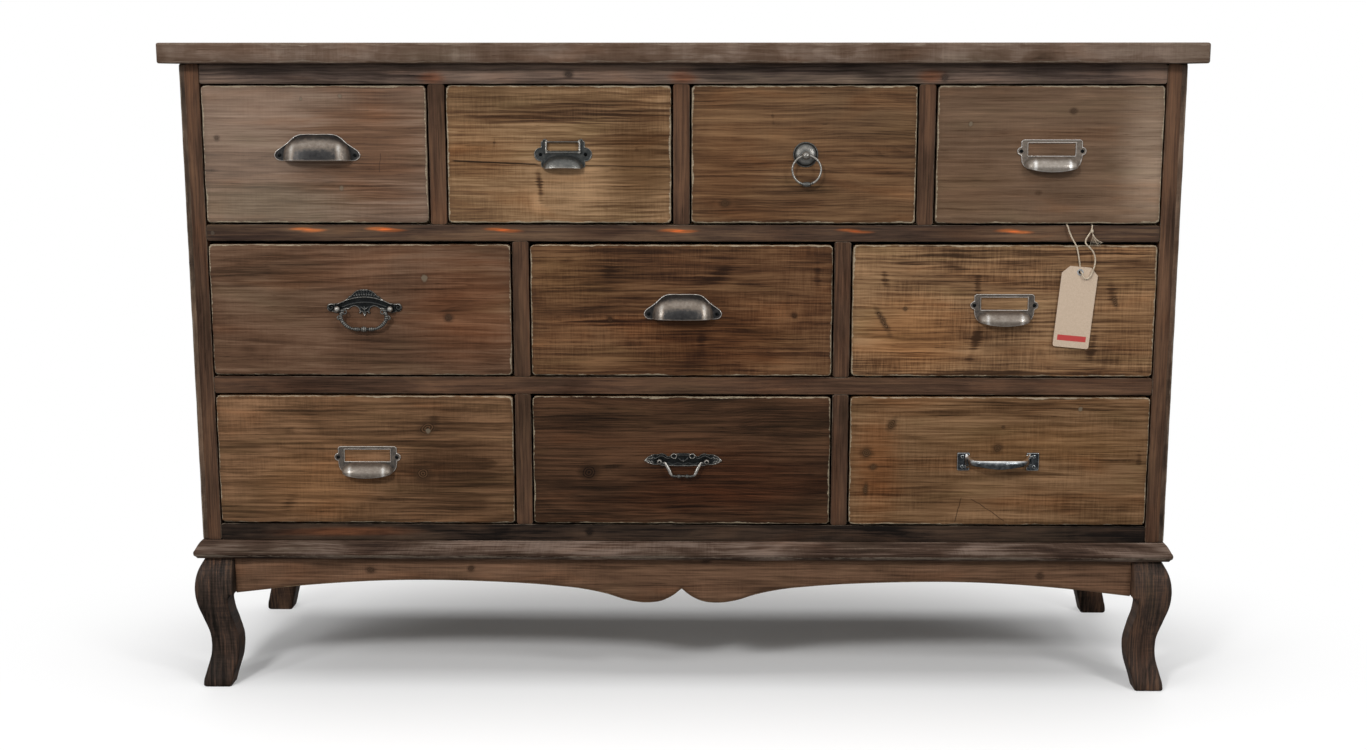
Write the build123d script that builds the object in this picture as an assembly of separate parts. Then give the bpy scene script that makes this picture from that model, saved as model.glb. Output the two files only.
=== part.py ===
from build123d import *
import math
import os

# A chest of ten drawers on four sawn cabriole legs, with a different pull on almost every drawer.
# Frame while modelling: X to the right, Y from the front to the back with 0 at the front of the face
# frame, Z up from the floor. At the end everything moves along Y, so that the origin lies on the floor
# under the centre of the whole chest. A pull is drawn in its own frame: x right, y up, z out of the drawer.

# ---- driving dimensions, millimetres ----
TOP_WIDTH = 1240.0
TOP_THICKNESS = 24.0
TOP_OVERHANG = 21.0
TOP_OVERHANG_BACK = 12.0         # covers the curve of the back legs
TOTAL_HEIGHT = 798.5
BODY_WIDTH = 1197.0
BODY_DEPTH = 366.0
PANEL = 18.0                     # side panels and runners
BACK_SHEET = 5.0
FRAME = 20.0                     # thickness of the face frame, front to back
STILE_INNER = 575.0              # half the width between the stiles
SIDE_LIP = 6.0                   # front edge of the side panel, seen beside the stile
DIVIDER = 20.0

BASE_TOP = 191.0                 # top of the base moulding, under the carcase
BASE_BOTTOM = 168.5
BASE_REACH = 10.5                # how far the moulding stands outside the body
BASE_STRIP = 60.0                # width of its strips, inwards from the body's face

# Each row: the height of the opening's bottom and top, and how many drawers it holds.
ROWS = [
    (583.8, 750.6, 4),
    (398.0, 563.8, 3),
    (211.9, 376.7, 3),
]
FRONT_THICKNESS = 20.0
FRONT_PROUD = 3.0                # drawer fronts stand this far in front of the face frame
GAP_SIDE = 2.0
GAP_BELOW = 2.2
GAP_ABOVE = (1.6, 3.6, 2.2)      # above the drawers of each row
FRONT_EASE = 1.2                 # rounding of a front's worn edges
BOX_WALL = 12.0
BOX_LENGTH = 318.0
BOX_SIDE_GAP = 3.0               # between a box and the guides beside it
BOX_LIFT = 0.6                   # between a box and its runners
BOX_HEIGHT_SHARE = 0.84          # box height as a share of the front's
BOTTOM_SHEET = 5.0
BOTTOM_RAISED = 9.0              # drawer bottom above the lower edge of the box
GROOVE = 4.0

RUNNER_WIDTH = 60.0
GUIDE_HEIGHT = 25.0
BACK_RAIL_HEIGHT = 40.0

APRON = 18.0
APRON_SETBACK = 5.0              # behind the body's front face
PULL_REACH = 27.0                # the furthest that a pull stands out of its drawer's face
SCREW_SHANK = 1.25
SCREW_CLEARANCE = 0.1
SCREW_DEPTH = 12.0

FACE_Y = -FRONT_PROUD            # front face of every drawer
HALF = BODY_WIDTH / 2
TOP_UNDERSIDE = TOTAL_HEIGHT - TOP_THICKNESS
SIDE_INNER = HALF - PANEL
CENTRING = -(BODY_DEPTH + TOP_OVERHANG_BACK - FRONT_PROUD - PULL_REACH) / 2

nodes = {}


def block(x_range, y_range, z_range):
    """A plain board between two limits along each axis."""
    size = [high - low for low, high in (x_range, y_range, z_range)]
    middle = [(high + low) / 2 for low, high in (x_range, y_range, z_range)]
    return Pos(*middle) * Box(*size)


def add(name, *solids):
    """Keep one named sub-part, which may be a group of separate solids."""
    nodes[name] = list(solids)


def mirrored_x(solid):
    return mirror(solid, about=Plane.YZ)


def face_of(outline):
    return make_face(Curve() + outline)


# ---- carcase ----

def side_panel():
    """Right side panel, with a rebate in its front edge that the stile sits in."""
    panel = block((SIDE_INNER, HALF), (0, BODY_DEPTH), (BASE_TOP, TOP_UNDERSIDE))
    stile_room = block((SIDE_INNER, HALF - SIDE_LIP), (0, FRAME), (BASE_TOP, TOP_UNDERSIDE))
    return panel - stile_room


def stile():
    return block((STILE_INNER, HALF - SIDE_LIP), (0, FRAME), (BASE_TOP, TOP_UNDERSIDE))


def rail_heights():
    """Heights of the four rails, from the top: above, between and below the rows."""
    edges = [TOP_UNDERSIDE]
    for bottom, top, _ in ROWS:
        edges += [top, bottom]
    edges.append(BASE_TOP)
    return [(edges[i + 1], edges[i]) for i in range(0, len(edges), 2)]


def divider_centres(count):
    """The row's dividers share the width evenly between them."""
    opening = (2 * STILE_INNER - (count - 1) * DIVIDER) / count
    return [-STILE_INNER + opening * (i + 1) + DIVIDER * (i + 0.5) for i in range(count - 1)]


def row_openings(count):
    """Left and right limits of each opening in a row."""
    centres = divider_centres(count)
    lefts = [-STILE_INNER] + [c + DIVIDER / 2 for c in centres]
    rights = [c - DIVIDER / 2 for c in centres] + [STILE_INNER]
    return list(zip(lefts, rights))


def dividers():
    return [
        block((c - DIVIDER / 2, c + DIVIDER / 2), (0, FRAME), (bottom, top))
        for bottom, top, count in ROWS
        for c in divider_centres(count)
    ]


BOTTOM_BOARD_TOP = BASE_TOP + 12.0
BACK_FACE = BODY_DEPTH - BACK_SHEET
BACK_RAIL_FRONT = BACK_FACE - PANEL


def runner_frames():
    """Runners under the drawers, guide strips between them, and the cross rails they end on."""
    solids = []
    for bottom, _, count in ROWS:
        low = max(bottom - PANEL, BOTTOM_BOARD_TOP)
        for c in divider_centres(count):
            half = RUNNER_WIDTH / 2
            solids.append(block((c - half, c + half), (FRAME, BACK_RAIL_FRONT), (low, bottom)))
            guide = (c - DIVIDER / 2, c + DIVIDER / 2)
            solids.append(block(guide, (FRAME, BACK_RAIL_FRONT), (bottom, bottom + GUIDE_HEIGHT)))
        edge = (SIDE_INNER - RUNNER_WIDTH / 2, SIDE_INNER)
        runner = block(edge, (FRAME, BACK_RAIL_FRONT), (low, bottom))
        solids += [runner, mirrored_x(runner)]
        rail_low = max(bottom - BACK_RAIL_HEIGHT, BOTTOM_BOARD_TOP)
        solids.append(block((-SIDE_INNER, SIDE_INNER), (BACK_RAIL_FRONT, BACK_FACE), (rail_low, bottom)))
    return solids


def moulding_section():
    """Section of the base moulding: distance outside the body, and height.
    A sloping upper face, a rounded nose, and a small cove back to the underside."""
    shoulder = (0.8, BASE_TOP)
    nose_top = (BASE_REACH - 1.6, BASE_TOP - 11.5)
    nose = (BASE_REACH, BASE_TOP - 15.5)
    nose_foot = (BASE_REACH - 2.4, BASE_TOP - 20.0)
    lines = [
        Spline(shoulder, (3.4, BASE_TOP - 2.6), nose_top),
        ThreePointArc(nose_top, nose, nose_foot),
        Polyline(nose_foot, (BASE_REACH - 4.0, BASE_BOTTOM), (-BASE_STRIP, BASE_BOTTOM),
                 (-BASE_STRIP, BASE_TOP), shoulder),
    ]
    return face_of(lines)


def prism(points, z_low, z_high):
    return extrude(Pos(0, 0, z_low) * make_face(Polyline(*points, close=True)), z_high - z_low)


def base_moulding():
    """Front, right and left strips, mitred where they meet, and a plain strip at the back."""
    out = BASE_REACH + 5
    deep = BASE_STRIP
    section = moulding_section()
    front_profile = Plane(origin=(0, 0, 0), x_dir=(0, -1, 0), z_dir=(-1, 0, 0)) * section
    front = extrude(front_profile, HALF + out, both=True)
    front_room = prism([(-HALF - out, -out), (HALF + out, -out), (HALF - deep, deep), (-HALF + deep, deep)],
                       BASE_BOTTOM - 1, BASE_TOP + 1)
    side_profile = Plane(origin=(HALF, 0, 0), x_dir=(1, 0, 0), z_dir=(0, -1, 0)) * section
    side = extrude(side_profile, BODY_DEPTH, both=True)
    side_room = prism([(HALF + out, -out), (HALF + out, BODY_DEPTH), (HALF - deep, BODY_DEPTH),
                       (HALF - deep, deep)], BASE_BOTTOM - 1, BASE_TOP + 1)
    right = side & side_room
    back = block((-HALF + deep, HALF - deep), (BODY_DEPTH - deep, BODY_DEPTH), (BASE_BOTTOM, BASE_TOP))
    return [front & front_room, right, mirrored_x(right), back]


# ---- legs and aprons ----

# The leg's S shape: how far each edge lies outside the body's corner, against height.
LEG_OUTER = [(-1.0, BASE_BOTTOM), (8.6, 150.0), (12.0, 130.0), (10.2, 110.0), (4.6, 90.0),
             (-1.8, 65.0), (-1.6, 42.0), (4.0, 20.0), (7.4, 6.0)]
LEG_TOE = [(7.4, 6.0), (7.2, 1.2), (5.6, 0.0)]
LEG_INNER = [(-27.5, 0.0), (-30.6, 12.0), (-36.6, 34.0), (-38.2, 56.0), (-34.2, 80.0), (-29.6, 102.0),
             (-29.4, 114.0), (-33.6, 121.0)]
LEG_BLOCK = -37.0                # inner edge of the square block that the aprons meet
LEG_BLOCK_BOTTOM = 122.0
LEG_SETBACK = 0.4                # the sawn front edge lies this much further in than the sawn side edge


def leg_outline():
    """The sawn outline, drawn as (out of the corner, up)."""
    lines = [
        Spline(*LEG_OUTER),
        Polyline(*LEG_TOE, LEG_INNER[0]),
        Spline(*LEG_INNER),
        Polyline(LEG_INNER[-1], (LEG_BLOCK, LEG_BLOCK_BOTTOM), (LEG_BLOCK, BASE_BOTTOM), LEG_OUTER[0]),
    ]
    return face_of(lines)


def right_front_leg():
    """A square baulk sawn to the same outline from the front and from the side."""
    reach = 60.0
    front = Plane(origin=(HALF, 0, 0), x_dir=(1, 0, 0), z_dir=(0, -1, 0))
    side = Plane(origin=(HALF, LEG_SETBACK, 0), x_dir=(0, -1, 0), z_dir=(-1, 0, 0))
    seen_from_front = extrude(front * leg_outline(), reach, both=True)
    seen_from_side = extrude(side * leg_outline(), reach, both=True)
    return seen_from_front & seen_from_side


def legs():
    right_front = right_front_leg()
    right_back = mirror(right_front, about=Plane(origin=(0, BODY_DEPTH / 2, 0), z_dir=(0, 1, 0)))
    return [right_front, mirrored_x(right_front), right_back, mirrored_x(right_back)]


LEG_INNER_X = HALF + LEG_BLOCK

# Lower edge of the front apron from its middle to the right: distance from the middle, and height.
APRON_CUSP = (0.0, 128.0)
APRON_LOBE = [APRON_CUSP, (9.0, 120.5), (24.0, 112.6), (45.0, 109.8), (66.0, 112.4), (94.0, 121.0),
              (122.0, 127.0), (165.0, 131.8), (250.0, 136.6)]
APRON_RISE = [(250.0, 136.6), (370.0, 137.2), (463.0, 131.4), (LEG_INNER_X, 120.5)]


def front_apron():
    """A board sawn to two lobes with a cusp between them, and long hollow curves to the legs."""
    half_edge = [Spline(*APRON_LOBE), Spline(*APRON_RISE)]
    corner = (LEG_INNER_X, BASE_BOTTOM)
    closing = Polyline(APRON_RISE[-1], corner, (0, BASE_BOTTOM), APRON_CUSP)
    right_face = face_of(half_edge + [closing])
    board = extrude(Plane(origin=(0, APRON_SETBACK, 0), x_dir=(1, 0, 0), z_dir=(0, -1, 0)) * right_face, -APRON)
    return board + mirrored_x(board)


def plain_apron(half_length):
    """A board with one shallow arch along its lower edge, drawn about its middle."""
    low, crown = 120.5, 134.0
    lines = [
        ThreePointArc((-half_length, low), (0, crown), (half_length, low)),
        Polyline((half_length, low), (half_length, BASE_BOTTOM), (-half_length, BASE_BOTTOM),
                 (-half_length, low)),
    ]
    return face_of(lines)


def side_and_rear_aprons():
    middle = BODY_DEPTH / 2
    side_plane = Plane(origin=(HALF - APRON_SETBACK, middle, 0), x_dir=(0, 1, 0), z_dir=(1, 0, 0))
    right = extrude(side_plane * plain_apron(middle + LEG_BLOCK - LEG_SETBACK), -APRON)
    rear_plane = Plane(origin=(0, BODY_DEPTH - APRON_SETBACK, 0), x_dir=(-1, 0, 0), z_dir=(0, 1, 0))
    rear = extrude(rear_plane * plain_apron(LEG_INNER_X), -APRON)
    return [right, mirrored_x(right), rear]


# ---- pulls, in their own frame: x right, y up, z out of the drawer's face ----

PLATE = 1.6
PLATE_SEAT = {"shell": PLATE, "small_label": PLATE, "label": 2.0, "cast": 2.4}  # where a screw's head sits


def ellipsoid(rx, ry, rz):
    return scale(Sphere(1), by=(rx, ry, rz))


def plate_from(sketch, thickness=PLATE):
    return extrude(sketch, thickness)


def bead(radius):
    """A ball whose poles lie along x, so its seam runs with the rod it sits on."""
    return Rot(0, 90, 0) * Sphere(radius)


def spindle(half_length, radius):
    """A bead along x that tapers to both ends."""
    left, right = (Rot(0, side * 90, 0) * Pos(0, 0, half_length / 2) * Cone(radius, 0.45 * radius, half_length)
                   for side in (-1, 1))
    return left + right


def dome_shell(rx, ry, rz, wall, keep):
    """A hollow half egg that stands on the plate, cut to the region that stays."""
    return (ellipsoid(rx, ry, rz) & keep), (ellipsoid(rx - wall, ry - wall, rz - wall) & keep)


def upper_room(low, reach=60.0):
    """Everything above a height and in front of the drawer's face."""
    return Pos(0, low + reach / 2, reach / 2) * Box(4 * reach, reach, reach)


def plate_holes(centres, radius=1.7):
    return [Pos(x, y, 0) * Cylinder(radius, 20) for x, y in centres]


def shell_cup_pull():
    """Stamped cup: a half dome open below, on a flat plate with two ears."""
    ears = [(-41.5, -9.0), (41.5, -9.0)]
    outline = [Pos(*ear) * Circle(6.8) for ear in ears]
    outline += [Pos(x, 8.2) * Circle(8.0) for x in (-19.0, 19.0)]
    hull = make_hull(Sketch(children=outline).edges())
    base = -15.8
    keep = upper_room(base)
    outer, inner = dome_shell(36.5, 29.0, 23.0, 1.5, Pos(0, -base, 0) * keep)
    outer, inner = Pos(0, base, 0) * outer, Pos(0, base, 0) * inner
    body = (plate_from(hull) + outer) - inner
    return body - plate_holes(ears), ears


def label_frame_outline():
    """Card frame with ears at its sides and a lower edge that runs in to the cup."""
    bar = Pos(0, 11.5) * RectangleRounded(70.5, 16.0, 4.0)
    skirt = make_face(Polyline((-35.2, 8), (35.2, 8), (35.2, -2), (29.5, -12.5), (-29.5, -12.5), (-35.2, -2),
                               close=True))
    return Sketch() + bar + skirt + [Pos(x, 5.3) * Circle(5.4) for x in (-34.9, 34.9)]


def label_cup_pull():
    """Card frame above a shallow cup whose lower lip bellies downwards."""
    ears = [(-34.9, 5.3), (34.9, 5.3)]
    window = Pos(0, 6.5) * Rectangle(55.5, 14.6)
    frame = plate_from(label_frame_outline() - window, PLATE_SEAT["label"])
    centre = -16.0
    lip = ThreePointArc((-60, -2.0), (0, -19.5), (60, -2.0))
    room = face_of([lip, Polyline((60, -2.0), (60, 40), (-60, 40), (-60, -2.0))])
    keep = extrude(room, 40)
    outer = (Pos(0, centre, 0) * ellipsoid(30.5, 16.0, 18.0)) & keep
    inner = (Pos(0, centre, 0) * ellipsoid(29.1, 14.6, 16.6)) & keep
    body = (frame + outer) - inner
    return body - plate_holes(ears), ears


def small_label_pull():
    """Plate with round ears, a raised card frame and a small hood below it."""
    ears = [(-27.5, 0.0), (27.5, 0.0)]
    outline = Sketch() + Rectangle(53.0, 31.0) + [Pos(*ear) * Circle(8.4) for ear in ears]
    outline += [Pos(x, 15.6) * Circle(3.0) for x in (-22.0, 22.0)]
    window = Pos(0, 9.4) * Rectangle(36.0, 8.4)
    raised = Pos(0, 9.4) * (Rectangle(43.0, 16.0) - Rectangle(36.0, 8.4))
    frame = plate_from(outline - window) + plate_from(raised, 4.4)
    base = -17.0
    keep = upper_room(base)
    outer = (Pos(0, base, 0) * ellipsoid(22.0, 15.0, 17.0)) & keep
    inner = (Pos(0, base, 0) * ellipsoid(20.6, 13.6, 15.6)) & keep
    body = (frame + outer) - inner
    return body - plate_holes(ears), ears


RING_PIVOT = (0.0, -2.5, 10.5)
RING_RADIUS = 16.2
RING_WIRE = 1.15
PIVOT_PLAY = 0.15


def ring_rosette():
    """Domed rosette with a round boss, drilled across for the ring."""
    dome = (ellipsoid(15.0, 15.0, 6.5) & upper_room(-30.0)) + extrude(Circle(15.0), 1.2)
    boss = extrude(Pos(0, RING_PIVOT[1]) * Circle(3.6), 13.0) + Pos(0, RING_PIVOT[1], 12.0) * Sphere(4.6)
    hole = Pos(*RING_PIVOT) * Rot(0, 90, 0) * Cylinder(RING_WIRE + 0.75, 40)
    return (dome + boss) - hole


def pull_ring():
    """Ring that hangs from the boss, with a long bead between two collars at its lowest point."""
    centre_y = RING_PIVOT[1] - RING_RADIUS
    at_centre = Pos(0, centre_y, RING_PIVOT[2])
    ring = at_centre * Rot(0, 0, 90) * Torus(RING_RADIUS, RING_WIRE)
    beads = [at_centre * Pos(0, -RING_RADIUS, 0) * spindle(6.4, 3.2)]
    for turn in (-27, 27):
        beads.append(at_centre * Rot(0, 0, turn) * Pos(0, -RING_RADIUS, 0) * bead(1.9))
    return ring + beads


def ball_post(x, y, pivot_z, radius, bore):
    """Post with a ball head, drilled across for the end of the bail."""
    stem = extrude(Pos(x, y) * Circle(radius * 0.85), pivot_z)
    head = Pos(x, y, pivot_z) * Sphere(radius)
    return stem + head, Pos(x, y, pivot_z) * Rot(0, 90, 0) * Cylinder(bore, 4 * radius)


ARCH_POSTS = 30.5                # half the distance between the posts of drawer 5
ARCH_POST_Y = 2.0
ARCH_PIVOT_Z = 8.5
ARCH_BALL = 3.6
BAIL_PIN = 1.5


def arched_backplate():
    """Arched band with a fan crest above it, scrolled ends and a leaf that hangs from its middle."""
    band_top = [(-38, 6.5), (-28, 10.5), (-16, 16.5), (-11, 22.0), (0, 24.8), (11, 22.0), (16, 16.5),
                (28, 10.5), (38, 6.5)]
    band_foot = [(38, -1.5), (30, -2.5), (22, 3.5), (10, 4.5), (3.5, 0.5), (0, -6.5), (-3.5, 0.5),
                 (-10, 4.5), (-22, 3.5), (-30, -2.5), (-38, -1.5)]
    lines = [
        Spline(*band_top),
        Line(band_top[-1], band_foot[0]),
        Spline(*band_foot),
        Line(band_foot[-1], band_top[0]),
    ]
    scrolls = [Pos(x, 3.5) * Circle(5.0) for x in (-39.0, 39.0)]
    plate = plate_from(Sketch() + face_of(lines) + scrolls, 2.2)
    holes = []
    for x in (-ARCH_POSTS, ARCH_POSTS):
        post, hole = ball_post(x, ARCH_POST_Y, ARCH_PIVOT_Z, ARCH_BALL, BAIL_PIN + PIVOT_PLAY)
        plate += post
        holes.append(hole)
    return plate - holes


def swept_rod(points, radii, radius):
    """A round rod along straight runs joined by tangent arcs."""
    path = FilletPolyline(*points, radius=radii)
    start = Plane(origin=path @ 0, z_dir=path % 0)
    return sweep(start * Circle(radius), path=path)


def bail_pins(radius, inner, outer):
    """The two pins of a bail, along x, from its necks into the posts."""
    pin = Rot(0, 90, 0) * Cylinder(radius, outer - inner)
    return [Pos(side * (outer + inner) / 2, 0, 0) * pin for side in (-1, 1)]


def arched_bail():
    """Hanging bail: pins in the two posts, a bow below, and a bead at its middle."""
    z = ARCH_PIVOT_Z
    thick = 2.2
    pin_end = ARCH_POSTS + ARCH_BALL - 1.0
    neck = ARCH_POSTS - ARCH_BALL - thick - 0.7
    low = ARCH_POST_Y - 21.8
    left_half = [(-neck, ARCH_POST_Y, z), (-neck - 2.0, ARCH_POST_Y - 10, z), (-18, low, z)]
    right_half = [(-x, y, depth) for x, y, depth in reversed(left_half)]
    rod = swept_rod(left_half + right_half, [4.0, 8.0, 8.0, 4.0], thick)
    pins = [Pos(0, ARCH_POST_Y, z) * pin for pin in bail_pins(BAIL_PIN, neck, pin_end)]
    knuckles = [Pos(side * neck, ARCH_POST_Y, z) * bead(thick + 0.3) for side in (-1, 1)]
    leaves = [Pos(side * 9.0, low, z) * spindle(6.0, 3.0) for side in (-1, 1)]
    return rod + pins + knuckles + leaves + [Pos(0, low, z) * bead(4.0)]


LEAF_POSTS = 27.0                # half the distance between the posts of drawer 9
LEAF_POST_Y = -1.2
LEAF_PIVOT_Z = 8.0
LEAF_BALL = 3.3
LEAF_PIN = 1.2


def leaf_backplate():
    """Straight backplate with pointed leaf ends and a scrolled upper rim."""
    upper = [(-44, 0), (-37, 5.6), (-26, 7.0), (-15, 4.2), (-10, 7.2), (0, 8.2), (10, 7.2), (15, 4.2),
             (26, 7.0), (37, 5.6), (44, 0)]
    lower = [(44, 0), (36, -5.0), (24, -7.0), (0, -7.8), (-24, -7.0), (-36, -5.0), (-44, 0)]
    plate = plate_from(face_of([Spline(*upper), Spline(*lower)]), 2.0)
    holes = []
    for x in (-LEAF_POSTS, LEAF_POSTS):
        post, hole = ball_post(x, LEAF_POST_Y, LEAF_PIVOT_Z, LEAF_BALL, LEAF_PIN + PIVOT_PLAY)
        plate += post
        holes.append(hole)
    return plate - holes


def leaf_bail():
    """Hanging bail with straight sloping arms and two beads on its grip."""
    z = LEAF_PIVOT_Z
    thick = 1.5
    pin_end = LEAF_POSTS + LEAF_BALL - 1.0
    neck = LEAF_POSTS - LEAF_BALL - thick - 0.5
    low = LEAF_POST_Y - 18.0
    rod = swept_rod([(-neck, LEAF_POST_Y, z), (-12.6, low, z), (12.6, low, z), (neck, LEAF_POST_Y, z)],
                    [3.5, 3.5], thick)
    pins = [Pos(0, LEAF_POST_Y, z) * pin for pin in bail_pins(LEAF_PIN, neck, pin_end)]
    knuckles = [Pos(side * neck, LEAF_POST_Y, z) * bead(thick + 0.25) for side in (-1, 1)]
    beads = [Pos(x, low, z) * bead(2.8) for x in (-4.7, 4.7)]
    return rod + pins + knuckles + beads


CAST_PLATE = (15.0, 22.0)
CAST_PLATE_X = 42.6


def cast_handle():
    """Cast handle: two end plates, and an arched grip that swells towards its middle."""
    screws = [(side * (CAST_PLATE_X + 1.4), y) for side in (-1, 1) for y in (-6.3, 6.3)]
    plate = extrude(RectangleRounded(*CAST_PLATE, 1.5), PLATE_SEAT["cast"])
    plates = [Pos(side * CAST_PLATE_X, 0) * plate for side in (-1, 1)]
    stations = [(-38.0, 1.2, 9.5, 3.0), (-33.5, 10.0, 5.2, 3.2), (-25.0, 18.5, 4.6, 3.2),
                (0.0, PULL_REACH - 3.6, 5.9, 3.6)]
    stations += [(-x, z, half_y, half_z) for x, z, half_y, half_z in reversed(stations[:-1])]
    slopes = [75, 60, 25, 0, -25, -60, -75]
    sections = []
    for (x, z, half_y, half_z), slope in zip(stations, slopes):
        turn = math.radians(slope)
        plane = Plane(origin=(x, -0.8, z), x_dir=(0, 1, 0), z_dir=(math.cos(turn), 0, math.sin(turn)))
        sections.append(plane * Ellipse(half_y, half_z))
    grip = loft(sections) & (Pos(0, 0, 30) * Box(120, 40, 60))
    body = plates[0] + plates[1] + grip
    return body - plate_holes(screws), screws


def wood_screw(x, y, seat, head=2.5):
    """Slotted round-head screw: its head on the plate, its shank in the drawer front."""
    cap = (Pos(x, y, seat) * ellipsoid(head, head, 1.3)) & (Pos(x, y, seat + 5) * Box(10, 10, 10))
    slot = Pos(x, y, seat + 1.1) * Box(2 * head, 0.6, 0.9)
    shank = Pos(x, y, (seat - SCREW_DEPTH) / 2) * Cylinder(SCREW_SHANK, seat + SCREW_DEPTH)
    return (cap - slot) + shank


def stud_and_nut(x, y):
    """Threaded stud behind a cast plate, through the drawer front, with its nut inside the drawer."""
    stud = Pos(x, y, -(FRONT_THICKNESS + 4) / 2) * Cylinder(SCREW_SHANK, FRONT_THICKNESS + 4)
    nut = Pos(x, y, -FRONT_THICKNESS) * extrude(RegularPolygon(3.6, 6), -2.6)
    return stud + nut


# ---- drawers ----

# Where each pull sits: centre of its drawing on the drawer's face, right of the chest's middle and up.
PULLS = {
    1: ("shell", -436.2, 676.1),
    2: ("small_label", -141.5, 668.0),
    3: ("ring", 149.6, 668.0),
    4: ("label", 441.0, 666.2),
    5: ("arch", -385.5, 478.5),
    6: ("shell", 1.8, 485.3),
    7: ("label", 390.8, 481.6),
    8: ("label", -388.0, 291.8),
    9: ("leaf", 2.1, 294.0),
    10: ("cast", 389.3, 294.6),
}
SCREWED = {"shell": shell_cup_pull, "small_label": small_label_pull, "label": label_cup_pull,
           "cast": cast_handle}
HUNG = {
    "ring": (ring_rosette, pull_ring, [(0.0, 3.5)]),
    "arch": (arched_backplate, arched_bail, [(-ARCH_POSTS, ARCH_POST_Y), (ARCH_POSTS, ARCH_POST_Y)]),
    "leaf": (leaf_backplate, leaf_bail, [(-LEAF_POSTS, LEAF_POST_Y), (LEAF_POSTS, LEAF_POST_Y)]),
}


def on_face(x, z):
    """The plane of a drawer's face at a place on it, looking out of the drawer."""
    return Plane(origin=(x, FACE_Y, z), x_dir=(1, 0, 0), z_dir=(0, -1, 0)).location


def add_pull(number):
    """Add the pull of one drawer, what holds it, and return the holes that its front needs."""
    kind, x, z = PULLS[number]
    place = on_face(x, z)
    if kind in SCREWED:
        body, spots = SCREWED[kind]()
        fixings = [wood_screw(u, v, PLATE_SEAT[kind]) for u, v in spots]
        depth = SCREW_DEPTH
    else:
        backplate, moving, spots = HUNG[kind]
        body = backplate()
        fixings = [stud_and_nut(u, v) for u, v in spots]
        depth = FRONT_THICKNESS + 2
        add(f"drawer_{number}_{'ring' if kind == 'ring' else 'bail'}", place * moving())
    add(f"drawer_{number}_pull", place * body)
    add(f"drawer_{number}_fixings", *[place * fixing for fixing in fixings])
    hole = Cylinder(SCREW_SHANK + SCREW_CLEARANCE, 2 * depth)
    return [place * Pos(u, v, 0) * hole for u, v in spots]


def add_drawer(number, row, left, right):
    """One drawer: its front, the box behind it and its pull."""
    bottom, top, _ = ROWS[row]
    x_low, x_high = left + GAP_SIDE, right - GAP_SIDE
    z_low, z_high = bottom + GAP_BELOW, top - GAP_ABOVE[row]
    back = FACE_Y + FRONT_THICKNESS
    front = block((x_low, x_high), (FACE_Y, back), (z_low, z_high))
    front = fillet(front.faces().sort_by(Axis.Y)[0].edges(), FRONT_EASE)
    add(f"drawer_{number}_front", front - add_pull(number))

    left_in, right_in = left + BOX_SIDE_GAP, right - BOX_SIDE_GAP
    end = back + BOX_LENGTH
    low = bottom + BOX_LIFT
    high = low + (z_high - z_low) * BOX_HEIGHT_SHARE
    sheet = (low + BOTTOM_RAISED, low + BOTTOM_RAISED + BOTTOM_SHEET)
    groove = block((left_in + BOX_WALL - GROOVE, right_in - BOX_WALL + GROOVE), (back, end), sheet)
    left_side = block((left_in, left_in + BOX_WALL), (back, end), (low, high)) - groove
    right_side = block((right_in - BOX_WALL, right_in), (back, end), (low, high)) - groove
    back_board = block((left_in + BOX_WALL, right_in - BOX_WALL), (end - BOX_WALL, end), (sheet[1], high))
    add(f"drawer_{number}_box", left_side, right_side, back_board, groove)


def add_drawers():
    number = 0
    for row, (_, _, count) in enumerate(ROWS):
        for left, right in row_openings(count):
            number += 1
            add_drawer(number, row, left, right)


# ---- hang tag of drawer 7: x right of the chest's middle, y front to back, z up ----

CARD_WIDTH = 43.5
CARD_HEIGHT = 98.5
CARD_THICKNESS = 0.8
CARD_LEAN = 5.2                  # degrees, its top to the right
CARD_CENTRE = (476.3, 485.6)
CARD_BACK_Y = FACE_Y - 2.6
CARD_CHAMFER = 9.0
EYE_DROP = 6.4                   # from the card's upper edge to the middle of its eyelet
EYE_BORE = 2.2
TWINE = 1.8
GAP_HEIGHT = ROWS[0][0] + GAP_BELOW / 2  # middle of the gap between drawer 4 and the rail below it

# The twine's loop: out of the gap over the upper rail, through the eyelet and back into that gap.
TWINE_ROUTE = [
    (463.1, 6.0, GAP_HEIGHT), (463.1, -3.8, GAP_HEIGHT), (465.6, -4.6, 576.0), (470.2, -4.9, 567.0),
    (475.2, -4.7, 559.0), (477.6, -4.4, 549.5), (479.4, -4.3, 539.5), (481.2, -4.3, 528.4),
    (481.2, -9.0, 528.4), (484.6, -9.6, 520.4), (490.6, -9.3, 520.8), (494.2, -8.8, 528.4),
    (497.2, -8.2, 537.4), (497.4, -7.6, 547.0), (492.8, -7.4, 556.0), (484.0, -8.2, 562.6),
    (485.6, -7.2, 569.4), (491.4, -5.2, 576.4), (493.4, -3.8, GAP_HEIGHT), (493.4, 6.0, GAP_HEIGHT),
]
KNOT = (492.2, -6.6, 577.5)
TUFT_END = (496.8, -8.2, 559.0)


def tag_plane():
    """Plane of the card's back face at its centre, turned by its lean."""
    plane = Plane(origin=(CARD_CENTRE[0], CARD_BACK_Y, CARD_CENTRE[1]), x_dir=(1, 0, 0), z_dir=(0, -1, 0))
    return plane.location * Rot(0, 0, -CARD_LEAN)


def tag_card():
    w, h, c = CARD_WIDTH / 2, CARD_HEIGHT / 2, CARD_CHAMFER
    corners = [(-w, -h), (w, -h), (w, h - c), (w - c, h), (-w + c, h), (-w, h - c)]
    outline = make_face(Polyline(*corners, close=True))
    outline = fillet(outline.vertices().group_by(Axis.Y)[0], 3.0)
    return extrude(outline - Pos(0, h - EYE_DROP) * Circle(EYE_BORE + 0.7), CARD_THICKNESS)


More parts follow.
